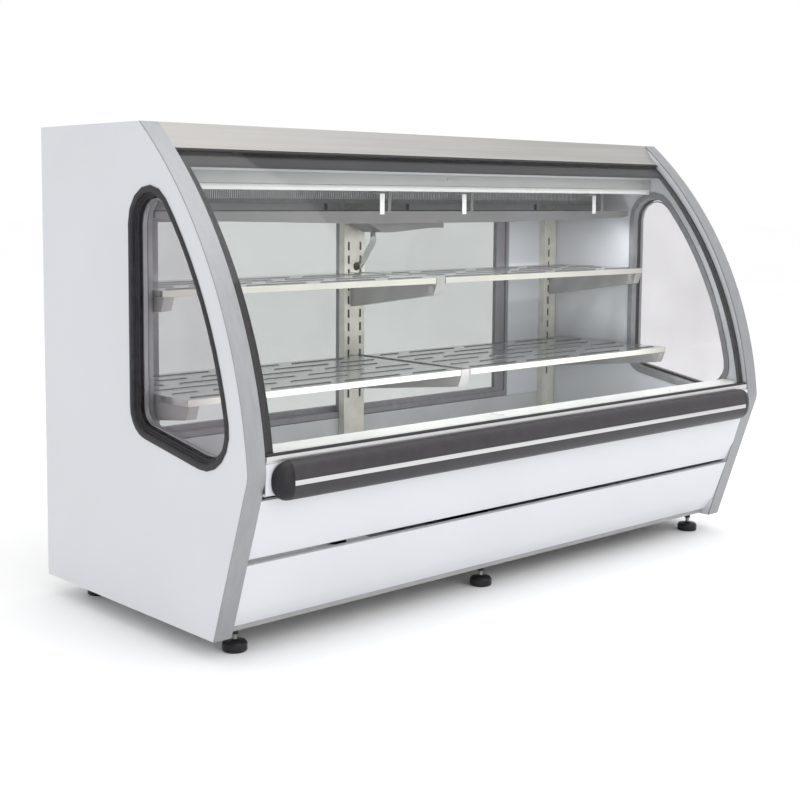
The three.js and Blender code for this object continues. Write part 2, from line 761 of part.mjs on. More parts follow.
// A long slot with round ends.
function shelfSlot(x0, x1, y) {
  const radius = 5;
  return [
    ...arc(new THREE.Vector2(x1 - radius, y), radius, -Math.PI / 2, Math.PI / 2, 2),
    ...arc(new THREE.Vector2(x0 + radius, y), radius, Math.PI / 2, (3 * Math.PI) / 2, 2),
  ];
}

function shelf(name, level, x0, x1) {
  const slotLength = 205;
  const land = 41;
  const rowPitch = 76;
  const edge = 25;
  const [rear, front] = [SHELF_REAR, level.depth];
  const rows = Math.floor((front - rear - 2 * edge) / rowPitch);
  const slots = [];
  for (let row = 0; row <= rows; row++) {
    const depth = front - edge - row * rowPitch;
    const shift = row % 2 ? (slotLength + land) / 2 : 0;
    for (let x = x0 + edge - shift; x < x1 - edge; x += slotLength + land) {
      const [a, b] = [Math.max(x, x0 + edge), Math.min(x + slotLength, x1 - edge)];
      if (b - a > land) slots.push(shelfSlot(a, b, BACK - depth));
    }
  }
  const foot = level.top - SHELF_LIP;
  const t = SHELF_SHEET;
  const pan = block(x0, x1, rear, front, foot, level.top);
  const hollow = block(x0 + t, x1 - t, rear + t, front - t, foot - 1, level.top - t);
  const punches = slots.map((slot) => extrude(slot, 3 * t).translate(0, 0, level.top - 2 * t));
  add(name, cut(pan, [hollow, ...punches]), GALVANISED);
}

function shelving(level) {
  const sideBracket = INNER - 9 - BRACKET_WIDTH.side / 2;
  bracket("bracket_" + level.name + "_left", level, -sideBracket, BRACKET_WIDTH.side, false);
  bracket("bracket_" + level.name + "_middle", level, 0, BRACKET_WIDTH.middle, true);
  bracket("bracket_" + level.name + "_right", level, sideBracket, BRACKET_WIDTH.side, false);
  for (const { side, name } of SIDES) {
    const [x0, x1] = span(side, SHELF_GAP / 2, INNER - SHELF_CLEAR);
    shelf("shelf_" + level.name + "_" + name, level, x0, x1);
  }
}

// ---------------------------------------------------------------- cooling coil, tray, hose, lamp
function evaporator() {
  const pitch = 30;
  const fin = 3;
  const [x0, x1] = [-INNER + COIL.clearLeft, INNER - COIL.clearRight];
  const count = Math.floor((x1 - x0) / pitch);
  const root = COIL.top - 8;
  const comb = [];
  for (let i = 0; i < count; i++) {
    const x = x0 + i * pitch;
    comb.push([x, root], [x, COIL.under], [x + fin, COIL.under], [x + fin, root]);
  }
  comb[0] = [x0, COIL.top];
  comb[comb.length - 1][1] = COIL.top;
  add("evaporator_coil", alongDepth(flat(comb), COIL.back, COIL.front), SATIN_ALUMINIUM);
}

function dripTray() {
  const end = INNER - TRAY.clear;
  const [rim, floor, wall] = [TRAY.rim, TRAY.floor, TRAY.sheet];
  const rise = 12;
  const trough = (inset) =>
    flat([
      [-end + inset, rim + inset],
      [-end + inset, floor + rise + 6 + inset],
      [-end + 24 + inset, floor + rise + inset],
      [-300, floor + inset],
      [300, floor + inset],
      [end - 24 - inset, floor + rise + inset],
      [end - inset, floor + rise + 6 + inset],
      [end - inset, rim + inset],
    ]);
  const sump = (inset) =>
    flat([
      [-75 + inset, floor + 3 * inset],
      [SPOUT.x - 22 + inset, SUMP.deep + inset],
      [SPOUT.x + 20, SUMP.deep + inset],
      [190 - inset, SUMP.shallow + inset],
      [250 - inset, SUMP.shallow + inset],
      [250 - inset, floor + 3 * inset],
    ]);
  const sumpFront = TRAY.back + 90;
  const spout = new THREE.CylinderGeometry(SPOUT.radius, SPOUT.radius, 30, 12);
  spout.rotateX(Math.PI / 2).translate(SPOUT.x, BACK - SPOUT.depth, SPOUT.foot + 15);
  const bore = new THREE.CylinderGeometry(SPOUT.radius - 2, SPOUT.radius - 2, 60, 12);
  bore.rotateX(Math.PI / 2).translate(SPOUT.x, BACK - SPOUT.depth, SPOUT.foot + 18);
  const hanger = (x, depth) =>
    block(x - 6, x + 6, depth, depth + wall, rim - 12, CANOPY_UNDER - GAP);
  const straps = [
    ...HANGERS.front.map((x) => hanger(x, TRAY.front - wall)),
    ...HANGERS.rear.map((x) => hanger(x, TRAY.back)),
  ];
  const shell = join([
    alongDepth(trough(0), TRAY.back, TRAY.front),
    alongDepth(sump(0), TRAY.back, sumpFront),
    spout,
  ]);
  const hollow = [
    alongDepth(trough(wall), TRAY.back + wall, TRAY.front - wall),
    alongDepth(sump(wall), TRAY.back + wall, sumpFront - wall),
    bore,
  ];
  add("drip_tray", join([cut(shell, hollow), ...straps]), GALVANISED);
}

// The condensate hose drops from the tray's spout and turns into the middle standard.
function drainHose() {
  const points = [
    [SPOUT.x, SPOUT.depth, SPOUT.foot - GAP],
    [SPOUT.x, SPOUT.depth, SPOUT.foot - 14],
    [SPOUT.x - 2.5, SPOUT.depth - 19, SPOUT.foot - 43],
    [HOSE_HOLE.x + 1, STANDARD_DEPTH + 24, HOSE_HOLE.height + 14],
    [HOSE_HOLE.x, STANDARD_DEPTH + 8, HOSE_HOLE.height],
    [HOSE_HOLE.x, STANDARD_DEPTH - 14, HOSE_HOLE.height],
  ];
  const route = new THREE.CatmullRomCurve3(
    points.map(([x, depth, z]) => new THREE.Vector3(x, BACK - depth, z)),
  );
  const section = new THREE.Shape(ring(new THREE.Vector2(0, 0), HOSE_RADIUS, 10));
  const hose = new THREE.ExtrudeGeometry(section, { steps: 14, extrudePath: route });
  add("drain_hose", hose, WHITE_PLASTIC);
}

function lamp() {
  const end = INNER - 25;
  const holder = path([
    [486, LAMP.seat + 0.5],
    [506, LAMP.seat + 0.5],
    [506, CANOPY_UNDER - GAP],
    [486, CANOPY_UNDER - GAP],
  ]);
  add("lamp_holder", alongX(holder, -SPAN, SPAN), WHITE_PLASTIC);
  const face = arc(at(496, LAMP.middle), 8, Math.PI / 2, (3 * Math.PI) / 2, 8);
  const tube = [...face, at(486, LAMP.under), at(486, LAMP.seat)];
  add("lamp_tube", alongX(tube, -end, end), WHITE_PLASTIC);
}

// ---------------------------------------------------------------- rear wall and sliding doors
const doorLow = DOORWAY.foot - 6;
const doorHigh = DOORWAY.top + 6;
const doorwayEdge = DOORWAY.half + TRACK_FRAME;
const trackFoot = TANK_BACK_TOP + 2;

function rearWall() {
  const header = DOORWAY.top + TRACK_FRAME;
  const [low, high] = [TANK_BACK_TOP + GAP, CANOPY_UNDER - GAP];
  const outline = flat([
    [-SPAN, low],
    [-doorwayEdge - GAP, low],
    [-doorwayEdge - GAP, header + GAP],
    [doorwayEdge + GAP, header + GAP],
    [doorwayEdge + GAP, low],
    [SPAN, low],
    [SPAN, high],
    [-SPAN, high],
  ]);
  add("rear_wall", alongDepth(outline, REAR_WALL.back, REAR_WALL.front), WHITE_PAINT);
}

function doorTrack() {
  const { outer, inner } = DOOR_TRACK_DEPTH;
  const [rear, front] = [outer - 6, REAR_WALL.front - 1];
  const ringFrame = alongDepth(
    rect(-doorwayEdge, doorwayEdge, trackFoot, DOORWAY.top + TRACK_FRAME),
    rear,
    front,
    [rect(-DOORWAY.half, DOORWAY.half, DOORWAY.foot, DOORWAY.top)],
  );
  const grooves = [outer, inner].map((depth) =>
    block(-DOORWAY.half, DOORWAY.half, depth - 1, depth + DOOR_THICK + 1, doorLow - 1, doorHigh + 1),
  );
  add("door_track", cut(ringFrame, grooves), DARK_ALUMINIUM);
}

// Each door reaches a little past the middle. A pull is sunk in the stile at its outer side.
function door({ side, name }) {
  const rear = side < 0 ? DOOR_TRACK_DEPTH.outer : DOOR_TRACK_DEPTH.inner;
  const front = rear + DOOR_THICK;
  const [x0, x1] = span(side, -DOOR_OVERLAP / 2, DOORWAY.half - 2);
  const [low, high] = [doorLow + DOOR_RAIL.foot, doorHigh - DOOR_RAIL.top];
  const opening = rect(x0 + DOOR_STILE, x1 - DOOR_STILE, low, high);
  const leaf = alongDepth(rect(x0, x1, doorLow, doorHigh), rear, front, [opening]);
  const pullX = side * (DOORWAY.half - 2 - DOOR_STILE / 2);
  const pullTop = doorHigh - PULL.drop;
  const [p0, p1] = [pullX - PULL.half, pullX + PULL.half];
  const pull = block(p0, p1, rear - 1, rear + PULL.sunk, pullTop - PULL.length, pullTop);
  add("door_frame_" + name, cut(leaf, [pull]), DARK_ALUMINIUM);
  const pane = block(
    x0 + DOOR_STILE + GAP,
    x1 - DOOR_STILE - GAP,
    rear + 3,
    front - 3,
    low + GAP,
    high - GAP,
  );
  add("door_pane_" + name, pane, GLASS);
}

// ---------------------------------------------------------------- rear cover and controls
function rearGrille() {
  const [low, high] = [90, TANK_BACK_TOP - 4];
  const louvres = [];
  for (const { side } of SIDES) {
    for (let i = 0; i < 9; i++) {
      const [a, b] = span(side, FAN.x - 190, FAN.x + 190);
      const z = low + 22 + i * 17;
      louvres.push(rect(a, b, z, z + 7));
    }
  }
  const plate = alongDepth(rect(-SPAN, SPAN, low, high), 6, 8, louvres);
  const returns = [
    block(-SPAN, SPAN, 7, 20, low, low + 2),
    block(-SPAN, SPAN, 7, 20, high - 2, high),
  ];
  add("rear_grille", join([plate, ...returns]), WHITE_PAINT);
}

const CONTROL = { x0: 560, x1: 820, low: PANEL_TOP - 96, high: PANEL_TOP - 38, rear: 14 };
const SWITCH_X = 620;
const KNOB_X = 750;
const controlMiddle = (CONTROL.low + CONTROL.high) / 2;

function controls() {
  const { x0, x1, low, high, rear } = CONTROL;
  const box = block(x0, x1, rear, 30 - GAP, low, high);
  const well = block(SWITCH_X - 8, SWITCH_X + 8, rear - 5, rear + 9, controlMiddle - 15, controlMiddle + 15);
  add("control_box", cut(box, [well]), BLACK_PLASTIC);
  const rocker = path([
    [rear + 6, controlMiddle - 5],
    [rear - 1.5, controlMiddle - 11],
    [rear - 0.5, controlMiddle],
    [rear - 4, controlMiddle + 11],
    [rear + 6, controlMiddle + 5],
  ]);
  add("light_switch", alongX(rocker, SWITCH_X - 7, SWITCH_X + 7), CHARCOAL);
  const knob = new THREE.CylinderGeometry(17, 19, 12, 20);
  const grip = new THREE.BoxGeometry(6, 3, 32);
  knob.translate(KNOB_X, BACK - rear + GAP + 6, controlMiddle);
  const turned = new THREE.CylinderGeometry(16, 18, 9, 20).translate(0, 4.5 + GAP, 0);
  const bar = grip.translate(0, GAP + 9, 0);
  add("thermostat_knob", join([turned, bar]).translate(KNOB_X, BACK - rear, controlMiddle), CHARCOAL);
}

// ---------------------------------------------------------------- condensing unit
function compressor() {
  const shell = flat([
    [0, 92],
    [60, 92],
    [76, 108],
    [80, 150],
    [80, 185],
    [66, 222],
    [36, 240],
    [0, 244],
  ]);
  const dome = new THREE.LatheGeometry(shell, 20).rotateX(Math.PI / 2);
  const plinth = new THREE.BoxGeometry(190, 150, 4).translate(0, 0, FRAME_TOP + GAP + 2);
  const neck = new THREE.CylinderGeometry(50, 50, 12, 16).rotateX(Math.PI / 2).translate(0, 0, 94);
  const box = new THREE.BoxGeometry(50, 40, 60).translate(-88, 0, 165);
  add("compressor", join([dome, neck, plinth, box]).translate(230, BACK - 300, 0), BLACK_PLASTIC);
}

function condenser() {
  const [x0, x1, pitch, fin] = [FAN.x - 150, FAN.x + 150, 12, 3];
  const [rear, front] = [BACK - 60, BACK - 102];
  const comb = [[x0, front]];
  for (let x = x0; x < x1; x += pitch) {
    comb.push([x, rear], [x + fin, rear], [x + fin, front + 6], [x + pitch, front + 6]);
  }
  comb.pop();
  comb[comb.length - 1][1] = front;
  const core = extrude(flat(comb), 150, []).translate(0, 0, FRAME_TOP + 6);
  add("condenser", core, SATIN_ALUMINIUM);
}

function fanShroud() {
  const [rear, front] = [103, 128];
  const hole = ring(new THREE.Vector2(FAN.x, FAN.height), FAN.radius + 5, 28);
  const [low, high] = [FRAME_TOP + 4, FRAME_TOP + 164];
  const plate = alongDepth(rect(FAN.x - 150, FAN.x + 150, low, high), rear, rear + 2, [hole]);
  const tunnelOut = ring(new THREE.Vector2(FAN.x, FAN.height), FAN.radius + 8, 28);
  const tunnel = alongDepth(tunnelOut, rear + 1, front, [hole]);
  const armReach = FAN.radius + 7;
  const arms = [
    block(FAN.x - armReach, FAN.x + armReach, front - 2, front, FAN.height - 6, FAN.height + 6),
    block(FAN.x - 6, FAN.x + 6, front - 2, front, FAN.height - armReach, FAN.height + armReach),
  ];
  const motor = alongDepth(ring(new THREE.Vector2(FAN.x, FAN.height), 30, 18), front - 1, front + 48);
  add("fan_shroud", join([plate, tunnel, ...arms, motor]), BLACK_PLASTIC);
}

function condenserFan() {
  const depth = 114;
  const hub = new THREE.CylinderGeometry(16, 16, 16, 18).translate(FAN.x, BACK - depth, FAN.height);
  const blade = (turn) => {
    const vane = new THREE.BoxGeometry(34, 2.5, FAN.radius - 10).rotateZ(0.42);
    vane.translate(0, 0, (FAN.radius - 10) / 2 + 10).rotateY(turn);
    return vane.translate(FAN.x, BACK - depth, FAN.height);
  };
  const blades = [0, 1, 2, 3].map((i) => blade((i * Math.PI) / 2));
  add("condenser_fan", join([hub, ...blades]), SATIN_ALUMINIUM);
}

// ---------------------------------------------------------------- assembly
SIDES.forEach((end) => {
  endPanel(end);
  edgeTrim(end);
  windowRubber(end);
  windowUnit(end);
  bumperCap(end);
  door(end);
});
topCover();
canopyCore();
frontGlass();
glassRail();
frontRail();
bumperBody();
bumperStripe();
frontPanels();
tank();
frontSill();
baseFrame();
const columnNames = ["left", "middle", "right"];
for (const [row, depth] of Object.entries(FOOT_ROWS)) {
  footColumns.forEach((x, i) => foot("foot_" + row + "_" + columnNames[i], x, depth));
}
standards();
SHELF_LEVELS.forEach(shelving);
evaporator();
dripTray();
drainHose();
lamp();
rearWall();
doorTrack();
rearGrille();
controls();
compressor();
condenser();
fanShroud();
condenserFan();

export default deliCase;
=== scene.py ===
# %% [markdown]
# # A chilled deli case
# This lesson dresses the solid model of a refrigerated deli case: white insulated ends with shaped windows, a
# curved front glass, slotted shelves, a cold coil under the roof and sliding doors at the back.
# The solid model fixes every size and every moving part. Blender adds the finishes and the small pieces that
# are too fine for a solid model, such as coil fins, seals, screws and printed borders.

# %% Load the model
import math

import bmesh
import bpy
from mathutils import Matrix, Vector


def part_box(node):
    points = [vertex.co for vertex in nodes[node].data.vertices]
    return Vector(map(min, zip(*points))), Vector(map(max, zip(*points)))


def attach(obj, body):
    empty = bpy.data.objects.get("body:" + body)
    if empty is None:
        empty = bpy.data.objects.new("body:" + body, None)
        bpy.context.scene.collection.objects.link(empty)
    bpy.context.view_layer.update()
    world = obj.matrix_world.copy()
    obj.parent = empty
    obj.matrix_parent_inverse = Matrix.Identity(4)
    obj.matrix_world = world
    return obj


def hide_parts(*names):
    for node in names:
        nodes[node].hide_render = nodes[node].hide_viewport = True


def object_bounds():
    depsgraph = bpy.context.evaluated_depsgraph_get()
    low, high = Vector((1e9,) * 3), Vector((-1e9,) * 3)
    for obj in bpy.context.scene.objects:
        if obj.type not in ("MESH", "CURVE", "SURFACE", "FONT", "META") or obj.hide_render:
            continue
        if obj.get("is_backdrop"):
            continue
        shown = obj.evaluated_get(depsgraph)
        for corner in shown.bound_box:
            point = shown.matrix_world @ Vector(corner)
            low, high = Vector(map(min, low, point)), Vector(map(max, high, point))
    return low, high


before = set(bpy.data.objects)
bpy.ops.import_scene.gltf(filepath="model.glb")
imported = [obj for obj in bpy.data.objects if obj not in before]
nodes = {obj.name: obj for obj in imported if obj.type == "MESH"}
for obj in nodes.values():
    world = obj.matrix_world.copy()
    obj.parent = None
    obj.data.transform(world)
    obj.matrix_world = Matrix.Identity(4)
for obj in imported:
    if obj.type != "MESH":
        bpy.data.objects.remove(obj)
case_low, case_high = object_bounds()
print("solid model:", len(nodes), "pieces, size", [round(b - a, 3) for a, b in zip(case_low, case_high)])

# %% [markdown]
# ## Places inside the case
# A shop fitter measures a case from its back, which stands against a line on the floor. Depth here means the
# distance in front of that back plane, and height means the distance above the floor, both in metres.

# %% Depths, heights and boxes
BACK = case_high.y
MM = 0.001


def at(x, depth, height):
    """A point from its place along the case, its depth and its height, all in millimetres."""
    return Vector((x * MM, BACK - depth * MM, height * MM))


def across(node):
    """The lowest and highest depth of a solid piece, in millimetres."""
    low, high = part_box(node)
    return (BACK - high.y) / MM, (BACK - low.y) / MM


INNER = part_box("front_rail")[1].x / MM
coil_depths = [round(d) for d in across("evaporator_coil")]
print("inner face of the ends at", round(INNER, 1), "mm, coil depth", coil_depths)

# %% [markdown]
# ## Node helpers for the finishes
# Every finish starts from the Principled shader. A factory finish is never perfectly even, so one slow noise
# moves the colour and the roughness a little, and one fine noise makes the grain that catches light.
# The textures use object coordinates, because these sheets have no UV maps and the grain must not stretch.


# %% Finish builder
def blank(name):
    """A new material and its parts."""
    material = bpy.data.materials.new(name)
    material.use_nodes = True
    tree = material.node_tree
    return material, tree.nodes, tree.links, tree.nodes["Principled BSDF"]


def noise(tree_nodes, links, scale, detail=4.0, stretch=(1, 1, 1)):
    """A noise value laid through the object; stretch gives brushed metal its direction."""
    place = tree_nodes.new("ShaderNodeTexCoord")
    mapping = tree_nodes.new("ShaderNodeMapping")
    mapping.inputs["Scale"].default_value = stretch
    texture = tree_nodes.new("ShaderNodeTexNoise")
    texture.inputs["Scale"].default_value = scale
    texture.inputs["Detail"].default_value = detail
    links.new(place.outputs["Object"], mapping.inputs["Vector"])
    links.new(mapping.outputs["Vector"], texture.inputs["Vector"])
    return texture.outputs["Fac"]


def ramp(tree_nodes, links, value, low, high, start=0.35, end=0.65):
    """Blend between two colours as the value rises."""
    blend = tree_nodes.new("ShaderNodeValToRGB")
    blend.color_ramp.elements[0].position = start
    blend.color_ramp.elements[1].position = end
    blend.color_ramp.elements[0].color = (*low, 1)
    blend.color_ramp.elements[1].color = (*high, 1)
    links.new(value, blend.inputs["Fac"])
    return blend.outputs["Color"]


def spread(tree_nodes, links, value, low, high):
    """Map the middle of a noise value onto a range of roughness."""
    remap = tree_nodes.new("ShaderNodeMapRange")
    remap.inputs["From Min"].default_value = 0.3
    remap.inputs["From Max"].default_value = 0.7
    remap.inputs["To Min"].default_value = low
    remap.inputs["To Max"].default_value = high
    links.new(value, remap.inputs["Value"])
    return remap.outputs["Result"]


def finish(
    name, shade, rough, metallic=0.0, mottle=5.0, change=0.05, grain=600.0, bump=0.04, stretch=(1, 1, 1)
):
    """A finish with uneven colour, uneven gloss and a fine grain."""
    material, parts, links, shader = blank(name)
    dark = tuple(c * (1 - change) for c in shade)
    light = tuple(min(1.0, c * (1 + change)) for c in shade)
    slow = noise(parts, links, mottle, 5.0, stretch)
    links.new(ramp(parts, links, slow, dark, light), shader.inputs["Base Color"])
    links.new(spread(parts, links, slow, rough * 0.88, rough * 1.15), shader.inputs["Roughness"])
    shader.inputs["Metallic"].default_value = metallic
    fine = noise(parts, links, grain, 3.0, stretch)
    relief = parts.new("ShaderNodeBump")
    relief.inputs["Strength"].default_value = bump
    relief.inputs["Distance"].default_value = 0.0004
    links.new(fine, relief.inputs["Height"])
    links.new(relief.outputs["Normal"], shader.inputs["Normal"])
    return material


print("finish helpers ready")

# %% [markdown]
# ## Paint, metal and plastic
# The ends and front panels are powder coated: white with a trace of blue, softly glossy and slightly orange
# peeled. The trims are satin anodised aluminium, drawn along their length. The roof is brushed stainless steel,
# so its noise is stretched fifty times along X to give long fine lines.

# %% The opaque finishes
ALONG_X = (0.02, 1, 1)
ALONG_Z = (1, 1, 0.02)
white_paint = finish(
    "white_powder_coat", (0.63, 0.645, 0.68), 0.36, mottle=2.2, change=0.02, grain=420, bump=0.05
)
shelf_metal = finish("bright_shelf_sheet", (0.52, 0.535, 0.53), 0.2, 0.85, mottle=9, change=0.04, grain=700)
edge_paint = finish("cream_shelf_edge", (0.50, 0.49, 0.44), 0.34, mottle=9, change=0.04, grain=700)
# The slot_shadow finish is painted shade: near-black for the shade seen down the shelf slots and the upright
# slots.
painted_slot_shade = finish("slot_shadow", (0.055, 0.053, 0.055), 0.6, mottle=20, change=0.15, grain=700)
bracket_paint = finish("grey_bracket_coat", (0.36, 0.355, 0.35), 0.42, 0.2, mottle=14, change=0.07, grain=700)
standard_steel = finish(
    "galvanised_upright", (0.66, 0.645, 0.58), 0.4, 0.15, mottle=26, change=0.08, grain=500
)
tank_steel = finish("tank_liner", (0.56, 0.57, 0.58), 0.32, 0.25, mottle=7, change=0.07, grain=320, bump=0.06)
satin = finish(
    "satin_trim", (0.325, 0.33, 0.345), 0.42, 0.7, mottle=60, change=0.05, grain=900, stretch=ALONG_Z
)
rail_metal = finish(
    "satin_rail", (0.60, 0.60, 0.60), 0.3, 0.8, mottle=60, change=0.05, grain=900, stretch=ALONG_X
)
stainless = finish(
    "brushed_roof",
    (0.385, 0.375, 0.36),
    0.5,
    0.7,
    mottle=90,
    change=0.06,
    grain=1400,
    bump=0.1,
    stretch=ALONG_X,
)
charcoal = finish(
    "charcoal_bumper", (0.030, 0.027, 0.031), 0.36, mottle=30, change=0.12, grain=1500, bump=0.16
)
black = finish("moulded_black", (0.016, 0.016, 0.018), 0.33, mottle=25, change=0.2, grain=1300, bump=0.12)
rubber = finish("window_rubber", (0.032, 0.030, 0.034), 0.5, mottle=40, change=0.18, grain=1700, bump=0.2)
white_plastic = finish("white_moulding", (0.80, 0.80, 0.79), 0.3, mottle=12, change=0.03, grain=900)
lamp_plastic = finish("lamp_cover", (0.88, 0.88, 0.87), 0.25, mottle=12, change=0.02, grain=900)
holder_plastic = finish("lamp_holder_coat", (0.42, 0.42, 0.42), 0.35, mottle=12, change=0.04, grain=900)
lamp_lit = finish("lit_lamp_cover", (0.60, 0.60, 0.60), 0.25, mottle=12, change=0.02, grain=900)
lamp_shader = lamp_lit.node_tree.nodes["Principled BSDF"]
lamp_shader.inputs["Emission Color"].default_value = (1, 1, 0.98, 1)
lamp_shader.inputs["Emission Strength"].default_value = 0.15
tray_paint = finish("tray_coat", (0.17, 0.165, 0.17), 0.4, mottle=14, change=0.08, grain=700)
door_metal = finish(
    "door_stile", (0.27, 0.26, 0.28), 0.42, 0.3, mottle=50, change=0.08, grain=900, stretch=ALONG_Z
)
fin_metal = finish("coil_fin", (0.62, 0.62, 0.63), 0.4, 0.7, mottle=70, change=0.1, grain=900)
copper = finish("copper_pipe", (0.60, 0.28, 0.16), 0.32, 1.0, mottle=60, change=0.12, grain=700)
enamel = finish("compressor_enamel", (0.014, 0.014, 0.016), 0.2, mottle=18, change=0.2, grain=500, bump=0.08)
zinc = finish("zinc_hardware", (0.52, 0.52, 0.5), 0.3, 0.9, mottle=90, change=0.1, grain=900)
frit = finish("printed_border", (0.020, 0.018, 0.021), 0.4, mottle=45, change=0.08, grain=1900, bump=0.03)
for matte, gloss_level in ((charcoal, 0.4), (black, 0.25), (rubber, 0.25), (frit, 0.25)):
    matte.node_tree.nodes["Principled BSDF"].inputs["Specular IOR Level"].default_value = gloss_level
print("opaque finishes:", len(bpy.data.materials))

# %% [markdown]
# ## Window rubber
# The rubber round each window is black outside and pale grey inside the case. The change lies inside the wall,
# where the two halves meet, so it is a distance from the middle of the case.

# %% Black outside, grey inside
RUBBER_SPLIT = 12
two_face_rubber, parts, links, shader = blank("two_face_rubber")
split = parts.new("ShaderNodeSeparateXYZ")
place = parts.new("ShaderNodeTexCoord")
links.new(place.outputs["Object"], split.inputs["Vector"])
outward = parts.new("ShaderNodeMath")
outward.operation = "ABSOLUTE"
links.new(split.outputs["X"], outward.inputs[0])
outer_face = parts.new("ShaderNodeMath")
outer_face.operation = "GREATER_THAN"
outer_face.inputs[1].default_value = (INNER + RUBBER_SPLIT) * MM
links.new(outward.outputs[0], outer_face.inputs[0])
mottled = noise(parts, links, 40, 5.0)
grey_tone = ramp(parts, links, mottled, (0.20, 0.20, 0.215), (0.23, 0.23, 0.245))
black_tone = ramp(parts, links, mottled, (0.026, 0.024, 0.028), (0.038, 0.036, 0.040))
faces = parts.new("ShaderNodeMix")
faces.data_type = "RGBA"
links.new(outer_face.outputs[0], faces.inputs["Factor"])
links.new(grey_tone, faces.inputs[6])
links.new(black_tone, faces.inputs[7])
links.new(faces.outputs[2], shader.inputs["Base Color"])
links.new(spread(parts, links, mottled, 0.45, 0.58), shader.inputs["Roughness"])
shader.inputs["Specular IOR Level"].default_value = 0.25
print("rubber changes colour at", round(INNER + RUBBER_SPLIT, 1), "mm from the middle")

# %% [markdown]
# ## Glass
# A sheet of clear glass is modelled with real thickness, but bending every ray twice makes a thin pane noisy
# and dark. Mixing a clear shader with a mirror shader gives the same look cheaply. The mirror's share follows
# the facing angle to the fifth power, which is how real glass behaves: clear when seen square on, reflective at
# a slant, and the same from inside and outside. A faint haze of noise in the gloss stands for wiping marks.


# %% Glass builder
def glazing(name, tint, square_on=0.02, gloss=0.015, slanted=0.35):
    """A thin clear pane: light passes straight through, and the mirror grows towards a slant."""
    material, parts, links, shader = blank(name)
    parts.remove(shader)
    clear = parts.new("ShaderNodeBsdfTransparent")
    mirror = parts.new("ShaderNodeBsdfGlossy")
    slant = parts.new("ShaderNodeLayerWeight")
    slant.inputs["Blend"].default_value = 0.5
    steep = parts.new("ShaderNodeMath")
    steep.operation = "POWER"
    steep.inputs[1].default_value = 5.0
    links.new(slant.outputs["Facing"], steep.inputs[0])
    edge = parts.new("ShaderNodeMapRange")
    edge.inputs["To Min"].default_value = square_on
    edge.inputs["To Max"].default_value = slanted
    links.new(steep.outputs[0], edge.inputs["Value"])
    haze = noise(parts, links, 3.5, 5.0)
    links.new(ramp(parts, links, haze, tuple(c * 0.975 for c in tint), tint), clear.inputs["Color"])
    links.new(spread(parts, links, haze, gloss, gloss * 2.2), mirror.inputs["Roughness"])
    both = parts.new("ShaderNodeMixShader")
    links.new(edge.outputs["Result"], both.inputs["Fac"])
    links.new(clear.outputs["BSDF"], both.inputs[1])
    links.new(mirror.outputs["BSDF"], both.inputs[2])
    links.new(both.outputs["Shader"], parts["Material Output"].inputs["Surface"])
    return material


front_glazing = glazing("curved_glass", (0.985, 0.99, 0.988))
window_glazing = glazing("window_glass", (0.965, 0.958, 0.965))
door_glazing = glazing("door_glass", (0.78, 0.795, 0.79))
hose_plastic = glazing("clear_hose", (0.80, 0.82, 0.81), square_on=0.12, gloss=0.12)
print("glass finishes ready")

# %% [markdown]
# ## Dress the solid pieces
# Each solid piece keeps its shape and takes a finish. A modifier stack softens it: Weld joins the triangles'
# corners, Bevel rounds the sharp edges by 0.3 to 1.2 mm so that they catch light as folded sheet does, and
# Weighted Normal keeps the large faces flat.


# %% Finish and soften
def soften(piece, width):
    """Round the sharp edges of a solid piece without touching its own vertices."""
    for face in piece.data.polygons:
        face.use_smooth = True
    weld = piece.modifiers.new("join_corners", "WELD")
    weld.merge_threshold = 0.00002
    bevel = piece.modifiers.new("soft_edges", "BEVEL")
    bevel.width = width
    bevel.segments = 2
    bevel.limit_method = "ANGLE"
    bevel.angle_limit = math.radians(32)
    normals = piece.modifiers.new("flat_faces", "WEIGHTED_NORMAL")
    normals.weight = 60


def dress(names, material, width=0.0005):
    """Give solid pieces one finish and soft edges."""
    for name in names:
        piece = nodes[name]
        piece.data.materials.clear()
        piece.data.materials.append(material)
        soften(piece, width)


def named(*starts):
    """All solid pieces whose name begins with one of these words."""
    return [name for name in sorted(nodes) if name.startswith(starts)]


dress(named("end_panel", "rear_wall", "rear_grille"), white_paint, 0.0012)
dress(named("front_panel", "front_rail", "canopy_core"), white_paint, 0.0006)
dress(named("edge_trim"), satin, 0.0005)
dress(named("top_cover"), stainless, 0.0004)
dress(named("bumper_stripe", "glass_rail"), rail_metal, 0.0004)
dress(named("bumper_body"), charcoal, 0.0006)
dress(named("bumper_cap", "control_box", "thermostat", "light_switch", "fan_shroud", "foot"), black, 0.0008)
dress(named("window_rubber"), two_face_rubber, 0.0006)
dress(named("front_sill"), white_plastic, 0.0006)
dress(["lamp_holder"], holder_plastic, 0.0006)
dress(["lamp_tube"], lamp_lit, 0.0006)
dress(named("tank"), tank_steel, 0.001)
dress(named("base_frame"), bracket_paint, 0.0005)
dress(["drip_tray"], tray_paint, 0.0005)
dress(named("standard"), standard_steel, 0.0003)
dress(named("bracket"), bracket_paint, 0.0004)
dress(named("shelf"), shelf_metal, 0.0004)
dress(named("door_track", "door_frame"), door_metal, 0.0008)
dress(named("condenser_fan"), fin_metal, 0.0004)
dress(named("compressor"), enamel, 0.001)
panes = (("front_glass", front_glazing), ("window_unit", window_glazing), ("door_pane", door_glazing))
for name, glass in panes:
    dress(named(name), glass, 0.0004)
print("dressed", sum(1 for node in nodes.values() if node.modifiers), "solid pieces")

# %% [markdown]
# ## A workshop for small pieces
# Fins, straps, seals and screws are simple forms, but there are hundreds of them. A few helpers build each
# kind as one mesh: a row of thin plates, a strip that follows a curve, and a tube along a path.


